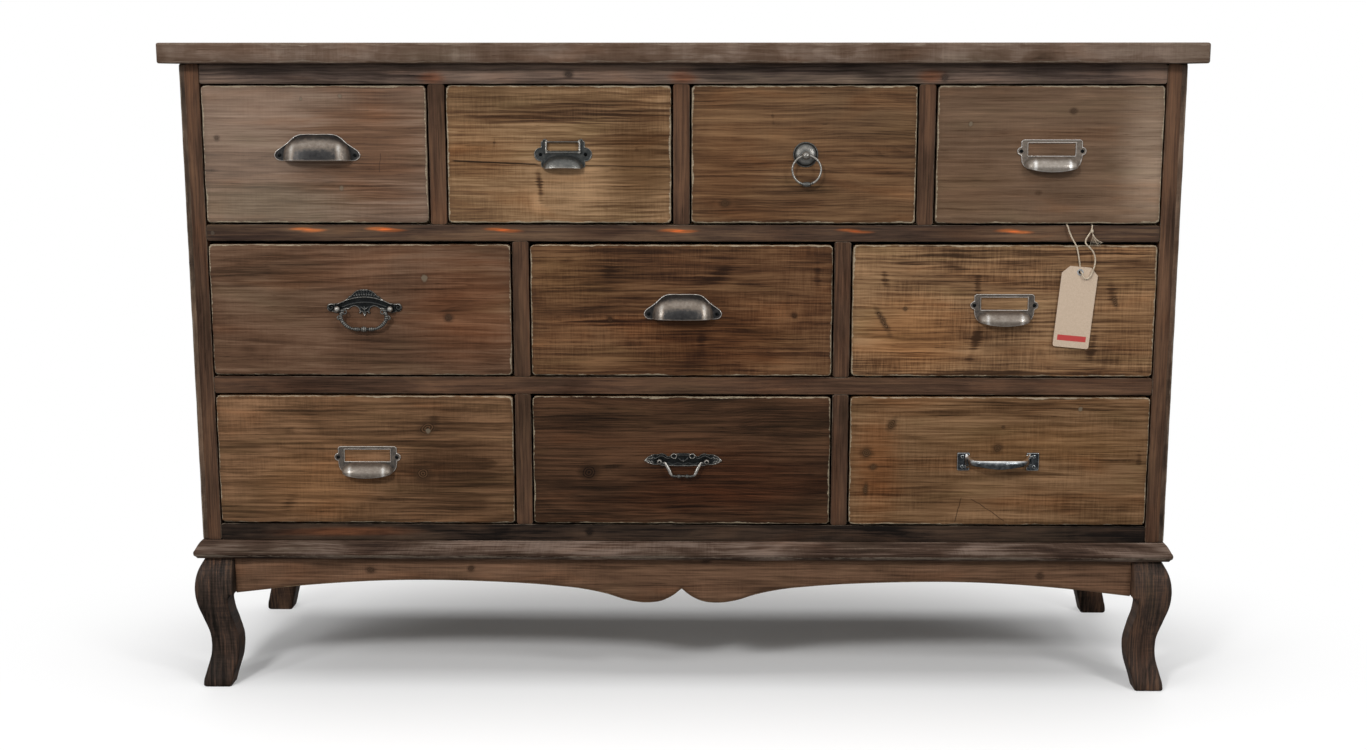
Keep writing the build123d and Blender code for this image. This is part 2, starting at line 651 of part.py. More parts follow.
def tag_eyelet():
    """Rolled eyelet: a short tube with a flange on each side of the card."""
    tube = extrude(Circle(EYE_BORE + 0.6), CARD_THICKNESS)
    flanges = [Pos(0, 0, z) * extrude(Circle(EYE_BORE + 1.7), 0.35) for z in (-0.35, CARD_THICKNESS)]
    bore = Cylinder(EYE_BORE, 10)
    return Pos(0, CARD_HEIGHT / 2 - EYE_DROP, 0) * ((tube + flanges) - bore)


def corner_radii(points):
    """The largest arc at each corner of a route: 0.45 of its shorter run over the tangent of half the turn."""
    radii = []
    for before, corner, after in zip(points, points[1:], points[2:]):
        run_in = Vector(corner) - Vector(before)
        run_out = Vector(after) - Vector(corner)
        turn = math.radians(run_in.get_angle(run_out))
        radii.append(0.45 * min(run_in.length, run_out.length) / math.tan(turn / 2))
    return radii


def add_tag():
    place = tag_plane()
    add("hang_tag_card", place * tag_card())
    add("hang_tag_eyelet", place * tag_eyelet())
    radii = corner_radii(TWINE_ROUTE)
    print("twine radii:", " ".join(f"{radius:.1f}" for radius in radii))
    path = FilletPolyline(*TWINE_ROUTE, radius=radii)
    section = Plane(origin=path @ 0, z_dir=path % 0) * Circle(TWINE / 2)
    twine = sweep(section, path=path)
    share = twine.volume / (path.length * math.pi * TWINE**2 / 4)
    print(f"twine: {path.length:.1f} mm long, volume {share:.4f} of its section times its length")
    add("hang_tag_twine", twine)
    hang = Vector(KNOT) - Vector(TUFT_END)
    fibres = Plane(origin=KNOT, z_dir=hang).location * Cone(3.3, 1.4, hang.length,
                                                            align=(Align.CENTER, Align.CENTER, Align.MAX))
    add("hang_tag_tuft", fibres + Pos(*KNOT) * Sphere(2.4))


# ---- everything together ----

def build():
    half_top = TOP_WIDTH / 2
    top = block((-half_top, half_top), (-TOP_OVERHANG, BODY_DEPTH + TOP_OVERHANG_BACK),
                (TOP_UNDERSIDE, TOTAL_HEIGHT))
    add("top_board", fillet(top.edges().filter_by(Axis.Z), 3.0))
    add("left_side", mirrored_x(side_panel()))
    add("right_side", side_panel())
    add("face_stiles", mirrored_x(stile()), stile())
    add("face_rails", *[block((-STILE_INNER, STILE_INNER), (0, FRAME), span) for span in rail_heights()])
    add("face_dividers", *dividers())
    add("bottom_board", block((-SIDE_INNER, SIDE_INNER), (FRAME, BACK_FACE), (BASE_TOP, BOTTOM_BOARD_TOP)))
    add("back_panel", block((-SIDE_INNER, SIDE_INNER), (BACK_FACE, BODY_DEPTH), (BASE_TOP, TOP_UNDERSIDE)))
    add("runner_frames", *runner_frames())
    add("base_moulding", *base_moulding())
    add("front_apron", front_apron())
    add("side_and_rear_aprons", *side_and_rear_aprons())
    add("legs", *legs())
    add_drawers()
    add_tag()


def write_parts():
    os.makedirs("parts", exist_ok=True)
    shift = Pos(0, CENTRING, 0)
    for name, solids in nodes.items():
        placed = [shift * solid for solid in solids]
        whole = placed[0] if len(placed) == 1 else Compound(children=placed)
        export_step(whole, f"parts/{name}.step")


build()
write_parts()
print(len(nodes), "parts written")
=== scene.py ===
import math
import bpy
import numpy as np
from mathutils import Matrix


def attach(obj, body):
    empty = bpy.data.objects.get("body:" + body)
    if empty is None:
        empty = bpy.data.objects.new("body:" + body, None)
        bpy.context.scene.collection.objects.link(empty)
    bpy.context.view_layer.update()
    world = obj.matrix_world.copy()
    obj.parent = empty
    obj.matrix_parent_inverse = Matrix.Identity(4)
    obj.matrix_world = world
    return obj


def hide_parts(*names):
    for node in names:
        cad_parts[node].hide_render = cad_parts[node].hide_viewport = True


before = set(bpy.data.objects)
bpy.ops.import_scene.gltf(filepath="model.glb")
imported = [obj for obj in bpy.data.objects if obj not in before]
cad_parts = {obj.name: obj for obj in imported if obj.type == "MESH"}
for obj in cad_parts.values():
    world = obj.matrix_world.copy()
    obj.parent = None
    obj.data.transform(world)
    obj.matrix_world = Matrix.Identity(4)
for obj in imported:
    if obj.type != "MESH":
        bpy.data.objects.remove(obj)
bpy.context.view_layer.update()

# The visible surfaces of the seed storage cabinet. Points are worked out in millimetres from the front
# of the face frame: x right, y back, z up from the floor. placed() takes them to the chest's own frame.
# A pull is drawn in its own millimetres on the drawer's face: x right, y up, z out of the drawer.

MM = 0.001
CENTRING = -174.0                # from the face frame's front to the middle of the chest's depth
HALF = 598.5                     # half the width of the body
DEPTH = 366.0
BASE_TOP, BASE_BOTTOM = 191.0, 168.5
TOP_UNDERSIDE, TOTAL_HEIGHT = 774.5, 798.5
FACE_Y = -3.0                    # front face of every drawer
STILE_INNER = 575.0
DIVIDER = 20.0
FRAME = 20.0
ROWS = [(583.8, 750.6, 4), (398.0, 563.8, 3), (211.9, 376.7, 3)]


def placed(points):
    """Millimetres from the face frame to metres in the chest's frame."""
    return (np.asarray(points, float) + (0, CENTRING, 0)) * MM


# ---- camera and twine ----

camera = bpy.data.objects.new("camera", bpy.data.cameras.new("camera"))
bpy.context.collection.objects.link(camera)
CAMERA_PLACE, CAMERA_DOWN, CAMERA_TURN = (0.0353, -2.3903, 0.7609), 0.1938, 0.0148
camera.location = CAMERA_PLACE
camera.rotation_euler = (math.pi / 2 - CAMERA_DOWN, 0, CAMERA_TURN)
camera.data.sensor_width = 36
camera.data.lens = 48.28
camera.data.shift_y = 0.0439
bpy.context.scene.camera = camera

TWINE = 1.8
GAP_HEIGHT = 584.9
TWINE_ROUTE = [
    (463.1, 6.0, GAP_HEIGHT), (463.1, -3.8, GAP_HEIGHT), (465.6, -4.6, 576.0), (470.2, -4.9, 567.0),
    (475.2, -4.7, 559.0), (477.6, -4.4, 549.5), (479.4, -4.3, 539.5), (481.2, -4.3, 528.4),
    (481.2, -9.0, 528.4), (484.6, -9.6, 520.4), (490.6, -9.3, 520.8), (494.2, -8.8, 528.4),
    (497.2, -8.2, 537.4), (497.4, -7.6, 547.0), (492.8, -7.4, 556.0), (484.0, -8.2, 562.6),
    (485.6, -7.2, 569.4), (491.4, -5.2, 576.4), (493.4, -3.8, GAP_HEIGHT), (493.4, 6.0, GAP_HEIGHT),
]


def route_curve(name, points, radius):
    """A smooth cord: a NURBS spline of order 3 with the route's points as its control points."""
    curve = bpy.data.curves.new(name, "CURVE")
    curve.dimensions = "3D"
    spline = curve.splines.new("NURBS")
    spline.points.add(len(points) - 1)
    for point, place in zip(spline.points, placed(points)):
        point.co = (*place, 1)
    spline.order_u = 3
    spline.use_endpoint_u = True
    curve.resolution_u = 12
    curve.bevel_depth = radius * MM
    curve.bevel_resolution = 4
    curve.use_fill_caps = True
    piece = bpy.data.objects.new(name, curve)
    bpy.context.collection.objects.link(piece)
    return piece


twine = route_curve("hang_tag_loop", TWINE_ROUTE, TWINE / 2)

# ---- numbers over a surface ----


class Wire:
    """One output of a material's node. Arithmetic on wires adds Math nodes."""

    def __init__(self, finish, socket):
        self.finish, self.socket = finish, socket

    def maths(self, operation, *values):
        return self.finish.add("Math", {"operation": operation}, dict(enumerate(values)))

    def __add__(self, other):
        return self.maths("ADD", self, other)

    def __sub__(self, other):
        return self.maths("SUBTRACT", self, other)

    def __rsub__(self, other):
        return self.maths("SUBTRACT", other, self)

    def __mul__(self, other):
        return self.maths("MULTIPLY", self, other)

    def __truediv__(self, other):
        return self.maths("DIVIDE", self, other)

    def __pow__(self, other):
        return self.maths("POWER", self, other)

    def __abs__(self):
        return self.maths("ABSOLUTE", self)

    def fraction(self):
        return self.maths("FRACT", self)

    def exponent(self):
        return self.maths("EXPONENT", self)

    def most(self, other):
        return self.maths("MAXIMUM", self, other)

    def rise(self, low, high):
        """0 below low, 1 above high and a smooth step between them. With low above high it falls instead."""
        values = {"Value": self, "From Min": low, "From Max": high}
        return self.finish.add("MapRange", {"interpolation_type": "SMOOTHSTEP"}, values)

    __radd__ = __add__
    __rmul__ = __mul__


class Finish:
    """A material, or the world, and its nodes."""

    def __init__(self, name, owners=bpy.data.materials):
        self.material = owners.new(name)
        self.material.use_nodes = True
        self.tree = self.material.node_tree
        self.tree.nodes.clear()

    def add(self, kind, settings=None, sockets=None, output=0):
        """A node of a kind, with its settings first and then its sockets' values or links. Gives one output."""
        node = self.tree.nodes.new("ShaderNode" + kind)
        for key, value in (settings or {}).items():
            if key == "stops":
                for place, colour in value[1:-1]:
                    node.color_ramp.elements.new(place)
                for element, (place, colour) in zip(node.color_ramp.elements, value):
                    element.position, element.color = place, (*colour, 1)
            else:
                setattr(node, key, value)
        for key, value in (sockets or {}).items():
            socket = node.inputs[key]
            if isinstance(value, Wire):
                self.tree.links.new(value.socket, socket)
            else:
                socket.default_value = (*value, 1) if socket.type == "RGBA" else value
        return Wire(self, node.outputs[output]) if node.outputs else None

    def place(self):
        """Where a point lies in the chest's frame, in millimetres."""
        here = self.add("TexCoord", output=3)
        return self.add("VectorMath", {"operation": "SCALE"}, {0: here, "Scale": 1000.0})

    def attribute(self, name, output=2):
        return self.add("Attribute", {"attribute_name": name}, output=output)

    def axes(self, vector):
        """The three numbers of a vector."""
        split = self.add("SeparateXYZ", None, {0: vector}).socket.node
        return [Wire(self, output) for output in split.outputs]

    def turned_frame(self, vector, origin, rotation, scale=(1, 1, 1)):
        """A vector as seen in a frame with its own origin, turn and unit lengths."""
        sockets = {"Vector": vector, "Location": origin, "Rotation": rotation, "Scale": scale}
        return self.add("Mapping", {"vector_type": "TEXTURE"}, sockets)

    def noise(self, vector, scale, detail=2.0, roughness=0.5, distortion=0.0, shift=(0, 0, 0)):
        """Noise about 0, from about -1 to 1, at its own scale along each axis."""
        where = self.add("Mapping", None, {"Vector": vector, "Location": shift, "Scale": scale})
        sockets = {"Vector": where, "Scale": 1.0, "Detail": detail, "Roughness": roughness,
                   "Distortion": distortion}
        return (self.add("TexNoise", None, sockets) - 0.5) * 4

    def away(self, vector, centre, size, turn=0.0):
        """How far a point lies from the middle of an ellipse: 1 on its outline."""
        inside = self.turned_frame(vector, (*centre, 0), (0, 0, turn), (*size, 1))
        return self.add("VectorMath", {"operation": "LENGTH"}, {0: inside}, output=1)

    def mix(self, share, below, above, blend="MIX"):
        settings = {"data_type": "RGBA", "blend_type": blend}
        return self.add("Mix", settings, {0: share, 6: below, 7: above}, output=2)

    def ramp(self, share, stops):
        return self.add("ValToRGB", {"stops": stops}, {0: share})

    def bump(self, height, strength, distance):
        """Raised and sunk detail; distance in millimetres."""
        return self.add("Bump", None, {"Height": height, "Strength": strength, "Distance": distance * MM})

    def surface(self, **sockets):
        """Close the material with one Principled shader; underscores stand for spaces."""
        named = {key.replace("_", " "): value for key, value in sockets.items()}
        shader = self.add("BsdfPrincipled", None, named)
        self.add("OutputMaterial", None, {"Surface": shader})
        return self.material


# ---- wood ----

def tint(colour, share):
    return tuple(min(1.0, channel * share) for channel in colour)


def wood(name, low, mid, high, seed=0, rings=5.0, ring_share=0.16, arch=None, streak=0.17, blotch=0.22,
         fibre=0.13, sawn=0.1, worn=(0.36, 0.30, 0.22), worn_width=1.6, grime=0.2, knots=(), smudges=(),
         lights=(), stains=(), cracks=(), fillers=(), chips=(), gloss=0.58, along=None):
    """Stained softwood, planed or sawn, with worn edges.

    The board's own millimetres are (u along the grain, v across it, w into it). A ring field is v, or the
    distance from a pith line that dips under the face (arch = its u, v and slope), pushed about by slow
    noise and round each knot. Its fraction darkens towards each ring's late wood. Fibres, streaks, lines,
    blotches and saw marks are noises stretched along u, v or both. Their sum picks a tone between low,
    mid and high. Knots, smudges, lights, stains, cracks, fillers and chips are given in the board's
    millimetres; of these, drawer 4's bluish lightening at its right end is a painted sheen. Chips and the
    edge attribute give the pale worn rim."""
    finish = Finish(name)
    if along is None:
        board = finish.attribute("grain", 1)
    else:
        board = finish.add("Mapping", None, {"Vector": finish.place(), "Rotation": along})
    shift = (seed * 37.7, seed * 11.3, seed * 71.9)
    back = shift[::-1]
    u, v, w = finish.axes(board)

    slow = finish.noise(board, (0.0045, 0.013, 0.02), 2, 0.5, 0.3, shift)
    brisk = finish.noise(board, (0.018, 0.07, 0.05), 2, 0.5, 0, shift)
    if arch:
        pith_u, pith_v, slope = arch
        field = ((v - pith_v + slow * 2.5) ** 2 + ((u - pith_u) * slope) ** 2) ** 0.5
    else:
        field = v + w * 0.7 + slow * 11
    ripple = finish.add("CombineXYZ", None, {0: u + brisk * 1.5, 1: v + brisk * 0.8 + slow * 1.2, 2: 0.0})
    for centre_u, centre_v, size, *_ in knots:
        reach = finish.away(board, (centre_u, centre_v), (size * 7.0, size * 2.6))
        field = field + (reach * reach * -2.2).exponent() * (size * 1.5)
    part = ((field + brisk * 0.5) / rings).fraction()
    late = part.rise(0.25, 0.9) * part.rise(1.0, 0.93)
    dark = late * finish.noise(board, (0.004, 0.05, 0.05), 1, 0.5, 0, back).rise(-0.8, 0.7)

    fibres = finish.noise(board, (0.02, 0.5, 0.5), 3, 0.7, 0, shift)
    lines = finish.noise(ripple, (0.0075, 0.36, 0.25), 3, 0.65, 0.1, back).rise(-0.75, 0.75) * 1.5 - 0.75
    dashes = finish.noise(board, (0.055, 0.7, 0.6), 2, 0.6, 0, shift).rise(0.45, 0.95)
    streaks = finish.noise(ripple, (0.0065, 0.11, 0.1), 3, 0.62, 0.2, shift)
    threads = finish.noise(ripple, (0.006, 0.45, 0.35), 2, 0.5, 0, back).rise(0.35, 0.95)
    cloud = finish.noise(ripple, (0.0065, 0.021, 0.02), 3, 0.55, 0.9, shift)
    marks = finish.noise(board, (0.45, 0.028, 0.028), 3, 0.7, 0, shift).rise(-0.7, 0.7) * 1.5 - 0.75
    saw = marks * finish.noise(board, (0.009, 0.022, 0.02), 2, 0.5, 0.4, back).rise(-0.7, 0.5)
    warm = finish.noise(board, (0.008, 0.03, 0.02), 3, 0.5, 0.5, back)

    tone = 0.5 + streaks * (streak * 0.85) + lines * (streak * 1.6) + cloud * (blotch * 1.6)
    tone = tone + fibres * (fibre * 1.4) + (0.3 - dark) * ring_share + saw * (sawn * 0.65)
    tone = tone - (threads + dashes) * (fibre * 1.6) + fibre * 0.3
    for centre_u, centre_v, half_u, half_v, turn, share in smudges:
        reach = finish.away(ripple, (centre_u, centre_v), (half_u, half_v), turn)
        reach = reach + streaks * 0.3 + lines * 0.45
        tone = tone - reach.rise(1.15, 0.1) * (share * 0.75 * (1 + marks * 0.35))
    for centre_u, centre_v, half_u, half_v, turn, share in lights:
        reach = finish.away(ripple, (centre_u, centre_v), (half_u, half_v), turn) + streaks * 0.3
        tone = tone + reach.rise(1.2, 0.0) * share
    stops = [(0.0, tint(low, 0.45)), (0.22, low), (0.5, mid), (0.78, high), (1.0, tint(high, 1.3))]
    colour = finish.ramp(tone, stops)
    colour = finish.mix(warm.rise(0.0, 1.1) * 0.5, colour, (1.15, 0.9, 0.72), "MULTIPLY")
    colour = finish.mix(warm.rise(0.0, -1.1) * 0.5, colour, (0.84, 0.94, 0.86), "MULTIPLY")
    # stains tint the colour; drawer 4's bluish lightening among them is a painted sheen
    for centre_u, centre_v, half_u, half_v, stain in stains:
        reach = finish.away(ripple, (centre_u, centre_v), (half_u, half_v)) + streaks * 0.25 + lines * 0.2
        colour = finish.mix(reach.rise(1.4, 0.3), colour, stain, "MULTIPLY")

    height = fibres * 0.25 + streaks * 0.2 - dark * 0.3 + saw * (2.0 * sawn)
    for centre_u, centre_v, size, *shape in knots:
        stretch, turn = shape + [1.0, 0.0][len(shape):]
        reach = finish.away(ripple, (centre_u, centre_v), (size * stretch, size), turn)
        inner = (reach * 2.6).fraction().rise(0.35, 0.75)
        body = (reach + fibres * 0.15).rise(1.08, 0.82)
        colour = finish.mix((reach + lines * 0.4).rise(2.2, 0.9) * 0.6, colour, tint(low, 0.5))
        colour = finish.mix(body * 0.9, colour, finish.mix(inner, tint(low, 0.3), tint(mid, 0.8)))
        height = height - body * 0.5
    for start_u, start_v, end_u, end_v, width, share in cracks:
        length = math.hypot(end_u - start_u, end_v - start_v)
        turn = math.atan2(end_v - start_v, end_u - start_u)
        run = finish.turned_frame(ripple, (start_u, start_v, 0), (0, 0, turn), (length, width, 1))
        ahead, beside, _ = finish.axes(run)
        mask = abs(beside).rise(1.0, 0.3) * ahead.rise(-0.02, 0.05) * ahead.rise(1.02, 0.95) * share
        colour = finish.mix(mask, colour, tint(low, 0.22))
        height = height - mask
    for centre_u, centre_v, size in fillers:
        reach = finish.away(ripple, (centre_u, centre_v), (size, size * 1.2)) + fibres * 0.3
        colour = finish.mix(reach.rise(1.6, 1.0) * 0.4, colour, tint(low, 0.7))
        colour = finish.mix(reach.rise(1.1, 0.7) * 0.6, colour, tint(worn, 0.4))

    edge = finish.attribute("edge", 2)
    ragged = finish.noise(board, (0.09, 0.25, 0.25), 4, 0.7, 0, shift)
    slow_rim = finish.noise(board, (0.016, 0.03, 0.03), 1, 0.5, 0, shift)
    colour = finish.mix((edge + ragged * 2).rise(6.0, 0.5) * grime, colour, tint(low, 0.7))
    wear = (slow_rim * 0.5 + ragged * 0.7 + 0.75) * worn_width
    rim = (edge + 0.45 - wear).rise(0.5, 0.0) * 0.85
    for centre_u, centre_v, half_u, half_v, share in chips:
        reach = finish.away(board, (centre_u, centre_v), (half_u, half_v)) + ragged * 0.9
        rim = rim.most(reach.rise(1.0, 0.55) * share)
    pale = finish.mix((fibres + ragged).rise(-1.0, 1.2), tint(worn, 0.55), worn)
    colour = finish.mix(rim * 0.85, colour, pale)
    rough = gloss + fibres * 0.07 - late * 0.05 + rim * 0.15
    normal = finish.bump(height - rim * 0.4, 0.5, 0.35)
    return finish.surface(Base_Color=colour, Roughness=rough, Normal=normal, Specular_IOR_Level=0.1)


# ---- meshes ----

def grid_faces(rows, columns, join_rows=False, join_columns=False):
    """Quads of a grid of points, row after row; a joined direction closes its last line to its first."""
    r, c = np.meshgrid(np.arange(rows if join_rows else rows - 1),
                       np.arange(columns if join_columns else columns - 1), indexing="ij")
    r_next, c_next = (r + 1) % rows, (c + 1) % columns
    quads = [r * columns + c, r * columns + c_next, r_next * columns + c_next, r_next * columns + c]
    return np.stack(quads, axis=-1).reshape(-1, 4).tolist()


def tube_faces(rows, columns):
    """A grid's faces, joined round each row, with one face over each end."""
    first, last = list(range(columns)), list(range((rows - 1) * columns, rows * columns))
    return grid_faces(rows, columns, join_columns=True) + [first, last[::-1]]


def enclosed(points, faces):
    """Signed volume inside the faces: a sum of the tetrahedra from the origin to each fan of a face."""
    triangles = np.array([(face[0], face[i], face[i + 1]) for face in faces for i in range(1, len(face) - 1)])
    a, b, c = (points[triangles[:, i]] for i in range(3))
    return float(np.einsum("ij,ij->i", a, np.cross(b, c)).sum()) / 6


def piece(name, points, faces, body, slot, material, replaces=(), sheet=False, crease=38.0, **attributes):
    """A mesh piece from points in metres. A closed one is turned so that its faces point outwards."""
    points = np.asarray(points, float)
    if not sheet and enclosed(points - points.mean(0), faces) < 0:
        faces = [face[::-1] for face in faces]
    mesh = bpy.data.meshes.new(name)
    mesh.from_pydata(points.tolist(), [], faces)
    for key, values in attributes.items():
        values = np.asarray(values, np.float32)
        kind, field = ("FLOAT_VECTOR", "vector") if values.ndim == 2 else ("FLOAT", "value")
        mesh.attributes.new(key, kind, "POINT").data.foreach_set(field, values.ravel())
    mesh.polygons.foreach_set("use_smooth", np.ones(len(mesh.polygons), bool))
    mesh.set_sharp_from_angle(angle=math.radians(crease))
    mesh.materials.append(material)
    made = bpy.data.objects.new(name, mesh)
    bpy.context.collection.objects.link(made)
    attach(made, body)
    if replaces:
        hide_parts(*replaces)
    return made


def merged(parts):
    """Solid parts as one piece, each turned so that its faces point outwards: points, faces and rub."""
    places, loops, rubs, total = [], [], [], 0
    for points, faces, rub in parts:
        if enclosed(points - points.mean(0), faces) < 0:
            faces = [face[::-1] for face in faces]
        loops += [[corner + total for corner in face] for face in faces]
        places.append(points)
        rubs.append(np.broadcast_to(rub, len(points)))
        total += len(points)
    return np.concatenate(places), loops, np.concatenate(rubs)


def wander(s, seed, length):
    """A smooth wavy value about 0 along s: four sines of falling length and height."""
    phase = np.random.default_rng(seed).uniform(0, 2 * math.pi, 4)
    waves = [(1.0, 1.0), (0.53, 0.7), (0.23, 0.5), (0.11, 0.3)]
    return sum(h * np.sin(2 * math.pi * s / (length * k) + p) for (k, h), p in zip(waves, phase)) / 2.0


def side_shares(length, step):
    """Shares along one side of a rectangle, closer together near its corners; the last corner is left out."""
    near = np.array([0.0, 0.7, 1.8, 3.6]) / length
    middle = np.linspace(7.0 / length, 1 - 7.0 / length, max(2, int(length / step)))
    return np.concatenate([near, middle, 1 - near[:0:-1]])


def board(name, low, high, thin, long, body, slot, material, face=-1, ease=1.0, seed=0, wobble=0.12,
          corner=1.2, both=False, step=6.0, replaces=(), has_marks=False):
    """A sawn board with hand-worn edges, between two corners in millimetres.

    Each ring is the board's outline, moved inwards by an inset and back from its face by a drop: flat on
    the face, round over the edge (inset = e (1 - sin t), drop = e (1 - cos t)), down the side, and closed
    behind. The easing e and the outline wander along each side. thin is the axis of the thickness, face
    its seen end, long the axis of the grain. A board that has marks placed one by one keeps its grain's
    middle at its own middle; another takes its own stretch of grain."""
    low, high = np.array(low, float), np.array(high, float)
    if low[long] > high[long]:
        low, high = high, low
    across = 3 - thin - long
    spans = [high[a] - low[a] for a in (long, across)]
    shares = [side_shares(span, step) for span in (spans[0], spans[1], spans[0], spans[1])]
    side = np.concatenate([np.full(len(share), i) for i, share in enumerate(shares)])
    share = np.concatenate(shares)
    length = np.array([spans[0], spans[1], spans[0], spans[1]])[side]
    to_corner = np.minimum(share, 1 - share) * length
    s = share * length + side * 1000.0 + seed * 77.0
    easing = ease * (1 + 0.55 * wander(s, seed, 90.0))
    outline = wobble * wander(s, seed + 5, 60.0) + corner * np.exp(-to_corner / (0.8 * corner + 0.01))
    outline = outline - outline.min()
    thickness = high[thin] - low[thin]
    reach = min(8.0, 0.45 * min(spans))
    angles = np.radians([0, 30, 60, 90])
    rings = [(reach + 0 * s, 0 * s, reach), (0.5 * reach + easing, 0 * s, 0.5 * reach)]
    rings += [(outline + easing * (1 - math.sin(t)), easing * (1 - math.cos(t)), 1 - math.sin(t))
              for t in angles]
    tail = [(outline, thickness / 2 + 0 * s, 10.0)]
    if both:
        tail += [(inset, thickness - drop, edge) for inset, drop, edge in rings[::-1]]
    else:
        tail += [(outline + 0.4, thickness + 0 * s, 10.0)]
    rings += [(outline, easing + min(4.0, 0.3 * thickness), 4.0)] + tail
    points, edges = [], []
    ends = np.array([[0, 0], [1, 0], [1, 1], [0, 1]])
    for inset, drop, edge in rings:
        here, there = ends[side], ends[(side + 1) % 4]
        place = np.zeros((len(s), 3))
        for k, axis in enumerate((long, across)):
            start = np.where(here[:, k] == 0, low[axis] + inset, high[axis] - inset)
            stop = np.where(there[:, k] == 0, low[axis] + inset, high[axis] - inset)
            place[:, axis] = start + (stop - start) * share
        place[:, thin] = low[thin] + drop if face < 0 else high[thin] - drop
        points.append(place)
        edges.append(np.full(len(s), edge))
    points = np.concatenate(points)
    centred = points - (low + high) / 2
    offset = 0.0 if has_marks else seed * 173.0
    grain = np.stack([centred[:, long] + offset, centred[:, across], centred[:, thin] + seed * 31.0], axis=1)
    return piece(name, placed(points), tube_faces(len(rings), len(s)), body, slot, material, replaces,
                 grain=grain, edge=np.concatenate(edges))


# ---- carcase ----

WORN_FRAME = (0.20, 0.155, 0.115)
ORANGE, BLACKENED, GREYED, WARM = (3.6, 1.9, 1.0), (0.62, 0.6, 0.62), (0.7, 0.7, 0.72), (1.25, 0.8, 0.6)


def frame_timber(name, *tones, **more):
    """Stained wood of the face frame: planed, thinly worn, nearly without saw marks."""
    values = dict(rings=6.0, ring_share=0.1, sawn=0.03, worn=WORN_FRAME, worn_width=0.7, gloss=0.5)
    values.update(more)
    return wood(name, *tones, **values)


frame_wood = frame_timber("frame_wood", (0.034, 0.018, 0.011), (0.066, 0.0355, 0.022), (0.112, 0.059, 0.034),
                          seed=3, streak=0.13)
rail_wood = frame_timber("upper_rail_wood", (0.036, 0.022, 0.016), (0.066, 0.039, 0.026), (0.11, 0.066, 0.04),
                         seed=8, blotch=0.2, fillers=[(-568, -1, 2.4)],
                         stains=[(u + away, 3.2 - 0.12 * away, 15, 2.1, ORANGE)
                                 for u in (-452, -358, -215, -3, 210, 402) for away in (-9, 7)]
                         + [(u, 0, 60, 14, BLACKENED) for u in (-530, -100, 330)])
# The top rail's tones are lighter than the frame wood's: painted light against the shadow that the top board's
# overhang casts on it.
top_rail_wood_lit_against_shadow = frame_timber("top_rail_wood_lit_against_shadow", (0.052, 0.035, 0.027), (0.105, 0.073, 0.057),
                             (0.175, 0.12, 0.09), seed=9, knots=[(-134, -1.5, 3.6, 1.3), (312, -5, 3.2)],
                             stains=[(u, -4, 16, 9, WARM) for u in (-297, 2, 296)]
                             + [(u, 2, 120, 12, GREYED) for u in (-440, 120, 470)])
low_rail_wood = frame_timber("low_rail_wood", (0.006, 0.004, 0.003), (0.027, 0.017, 0.012),
                             (0.052, 0.032, 0.021), seed=15, blotch=0.3, sawn=0.05, worn_width=0.5, grime=0.3,
                             knots=[(-115, 0, 3.6)], stains=[(-420, 0, 90, 6, (2.2, 1.4, 1.0))])
side_wood = wood("side_wood", (0.03, 0.02, 0.014), (0.07, 0.045, 0.031), (0.14, 0.09, 0.06), seed=21,
                 rings=9.0, ring_share=0.14, arch=(-350, 12, 0.11), worn=WORN_FRAME, worn_width=1.0, gloss=0.5)
top_wood = wood("top_wood", (0.07, 0.042, 0.027), (0.105, 0.068, 0.048), (0.16, 0.115, 0.088), seed=30,
                rings=7.0, ring_share=0.16, worn=(0.22, 0.18, 0.14), worn_width=0.25, gloss=0.5)
SLOT = "stained_frame_wood"


def opening_width(count):
    """Width of each opening in a row of count drawers, with a divider between neighbours."""
    return (2 * STILE_INNER - (count - 1) * DIVIDER) / count


def carcase_board(name, node, low, high, thin, long, material, **more):
    return board(name, low, high, thin, long, "carcase", SLOT, material, replaces=[node], **more)


carcase_board("top_plank", "top_board", (-620, -21, TOP_UNDERSIDE), (620, DEPTH + 12, TOTAL_HEIGHT), 2, 0,
              top_wood, face=1, ease=2.6, corner=2.0, both=True, wobble=0.3, seed=1)
for side, name in ((-1, "left"), (1, "right")):
    panel = sorted((side * (HALF - 18), side * HALF))
    carcase_board(f"{name}_side_panel", f"{name}_side", (panel[0], 0, BASE_TOP),
                  (panel[1], DEPTH, TOP_UNDERSIDE), 0, 2, side_wood, face=side, ease=1.2, seed=2 + side)
    post = sorted((side * STILE_INNER, side * (HALF - 6)))
    carcase_board(f"{name}_stile", "face_stiles", (post[0], -0.4, BASE_TOP), (post[1], FRAME, TOP_UNDERSIDE),
                  1, 2, frame_wood, ease=0.8, seed=12 + side)
edges = [TOP_UNDERSIDE] + [height for bottom, top, _ in ROWS for height in (top, bottom)] + [BASE_TOP]
rail_woods = [top_rail_wood_lit_against_shadow, rail_wood, frame_wood, low_rail_wood]
for number, material in enumerate(rail_woods):
    upper, lower = edges[2 * number], edges[2 * number + 1]
    carcase_board(f"rail_{number + 1}", "face_rails", (-STILE_INNER, 0, lower), (STILE_INNER, FRAME, upper),
                  1, 0, material, ease=0.7, seed=40 + number, has_marks=True)
for row, (bottom, top, count) in enumerate(ROWS):
    for number in range(count - 1):
        left = -STILE_INNER + opening_width(count) * (number + 1) + DIVIDER * number
        carcase_board(f"divider_{row + 1}_{number + 1}", "face_dividers", (left, 0, bottom),
                      (left + DIVIDER, FRAME, top), 1, 2, frame_wood, ease=0.8, seed=50 + 7 * row + number)


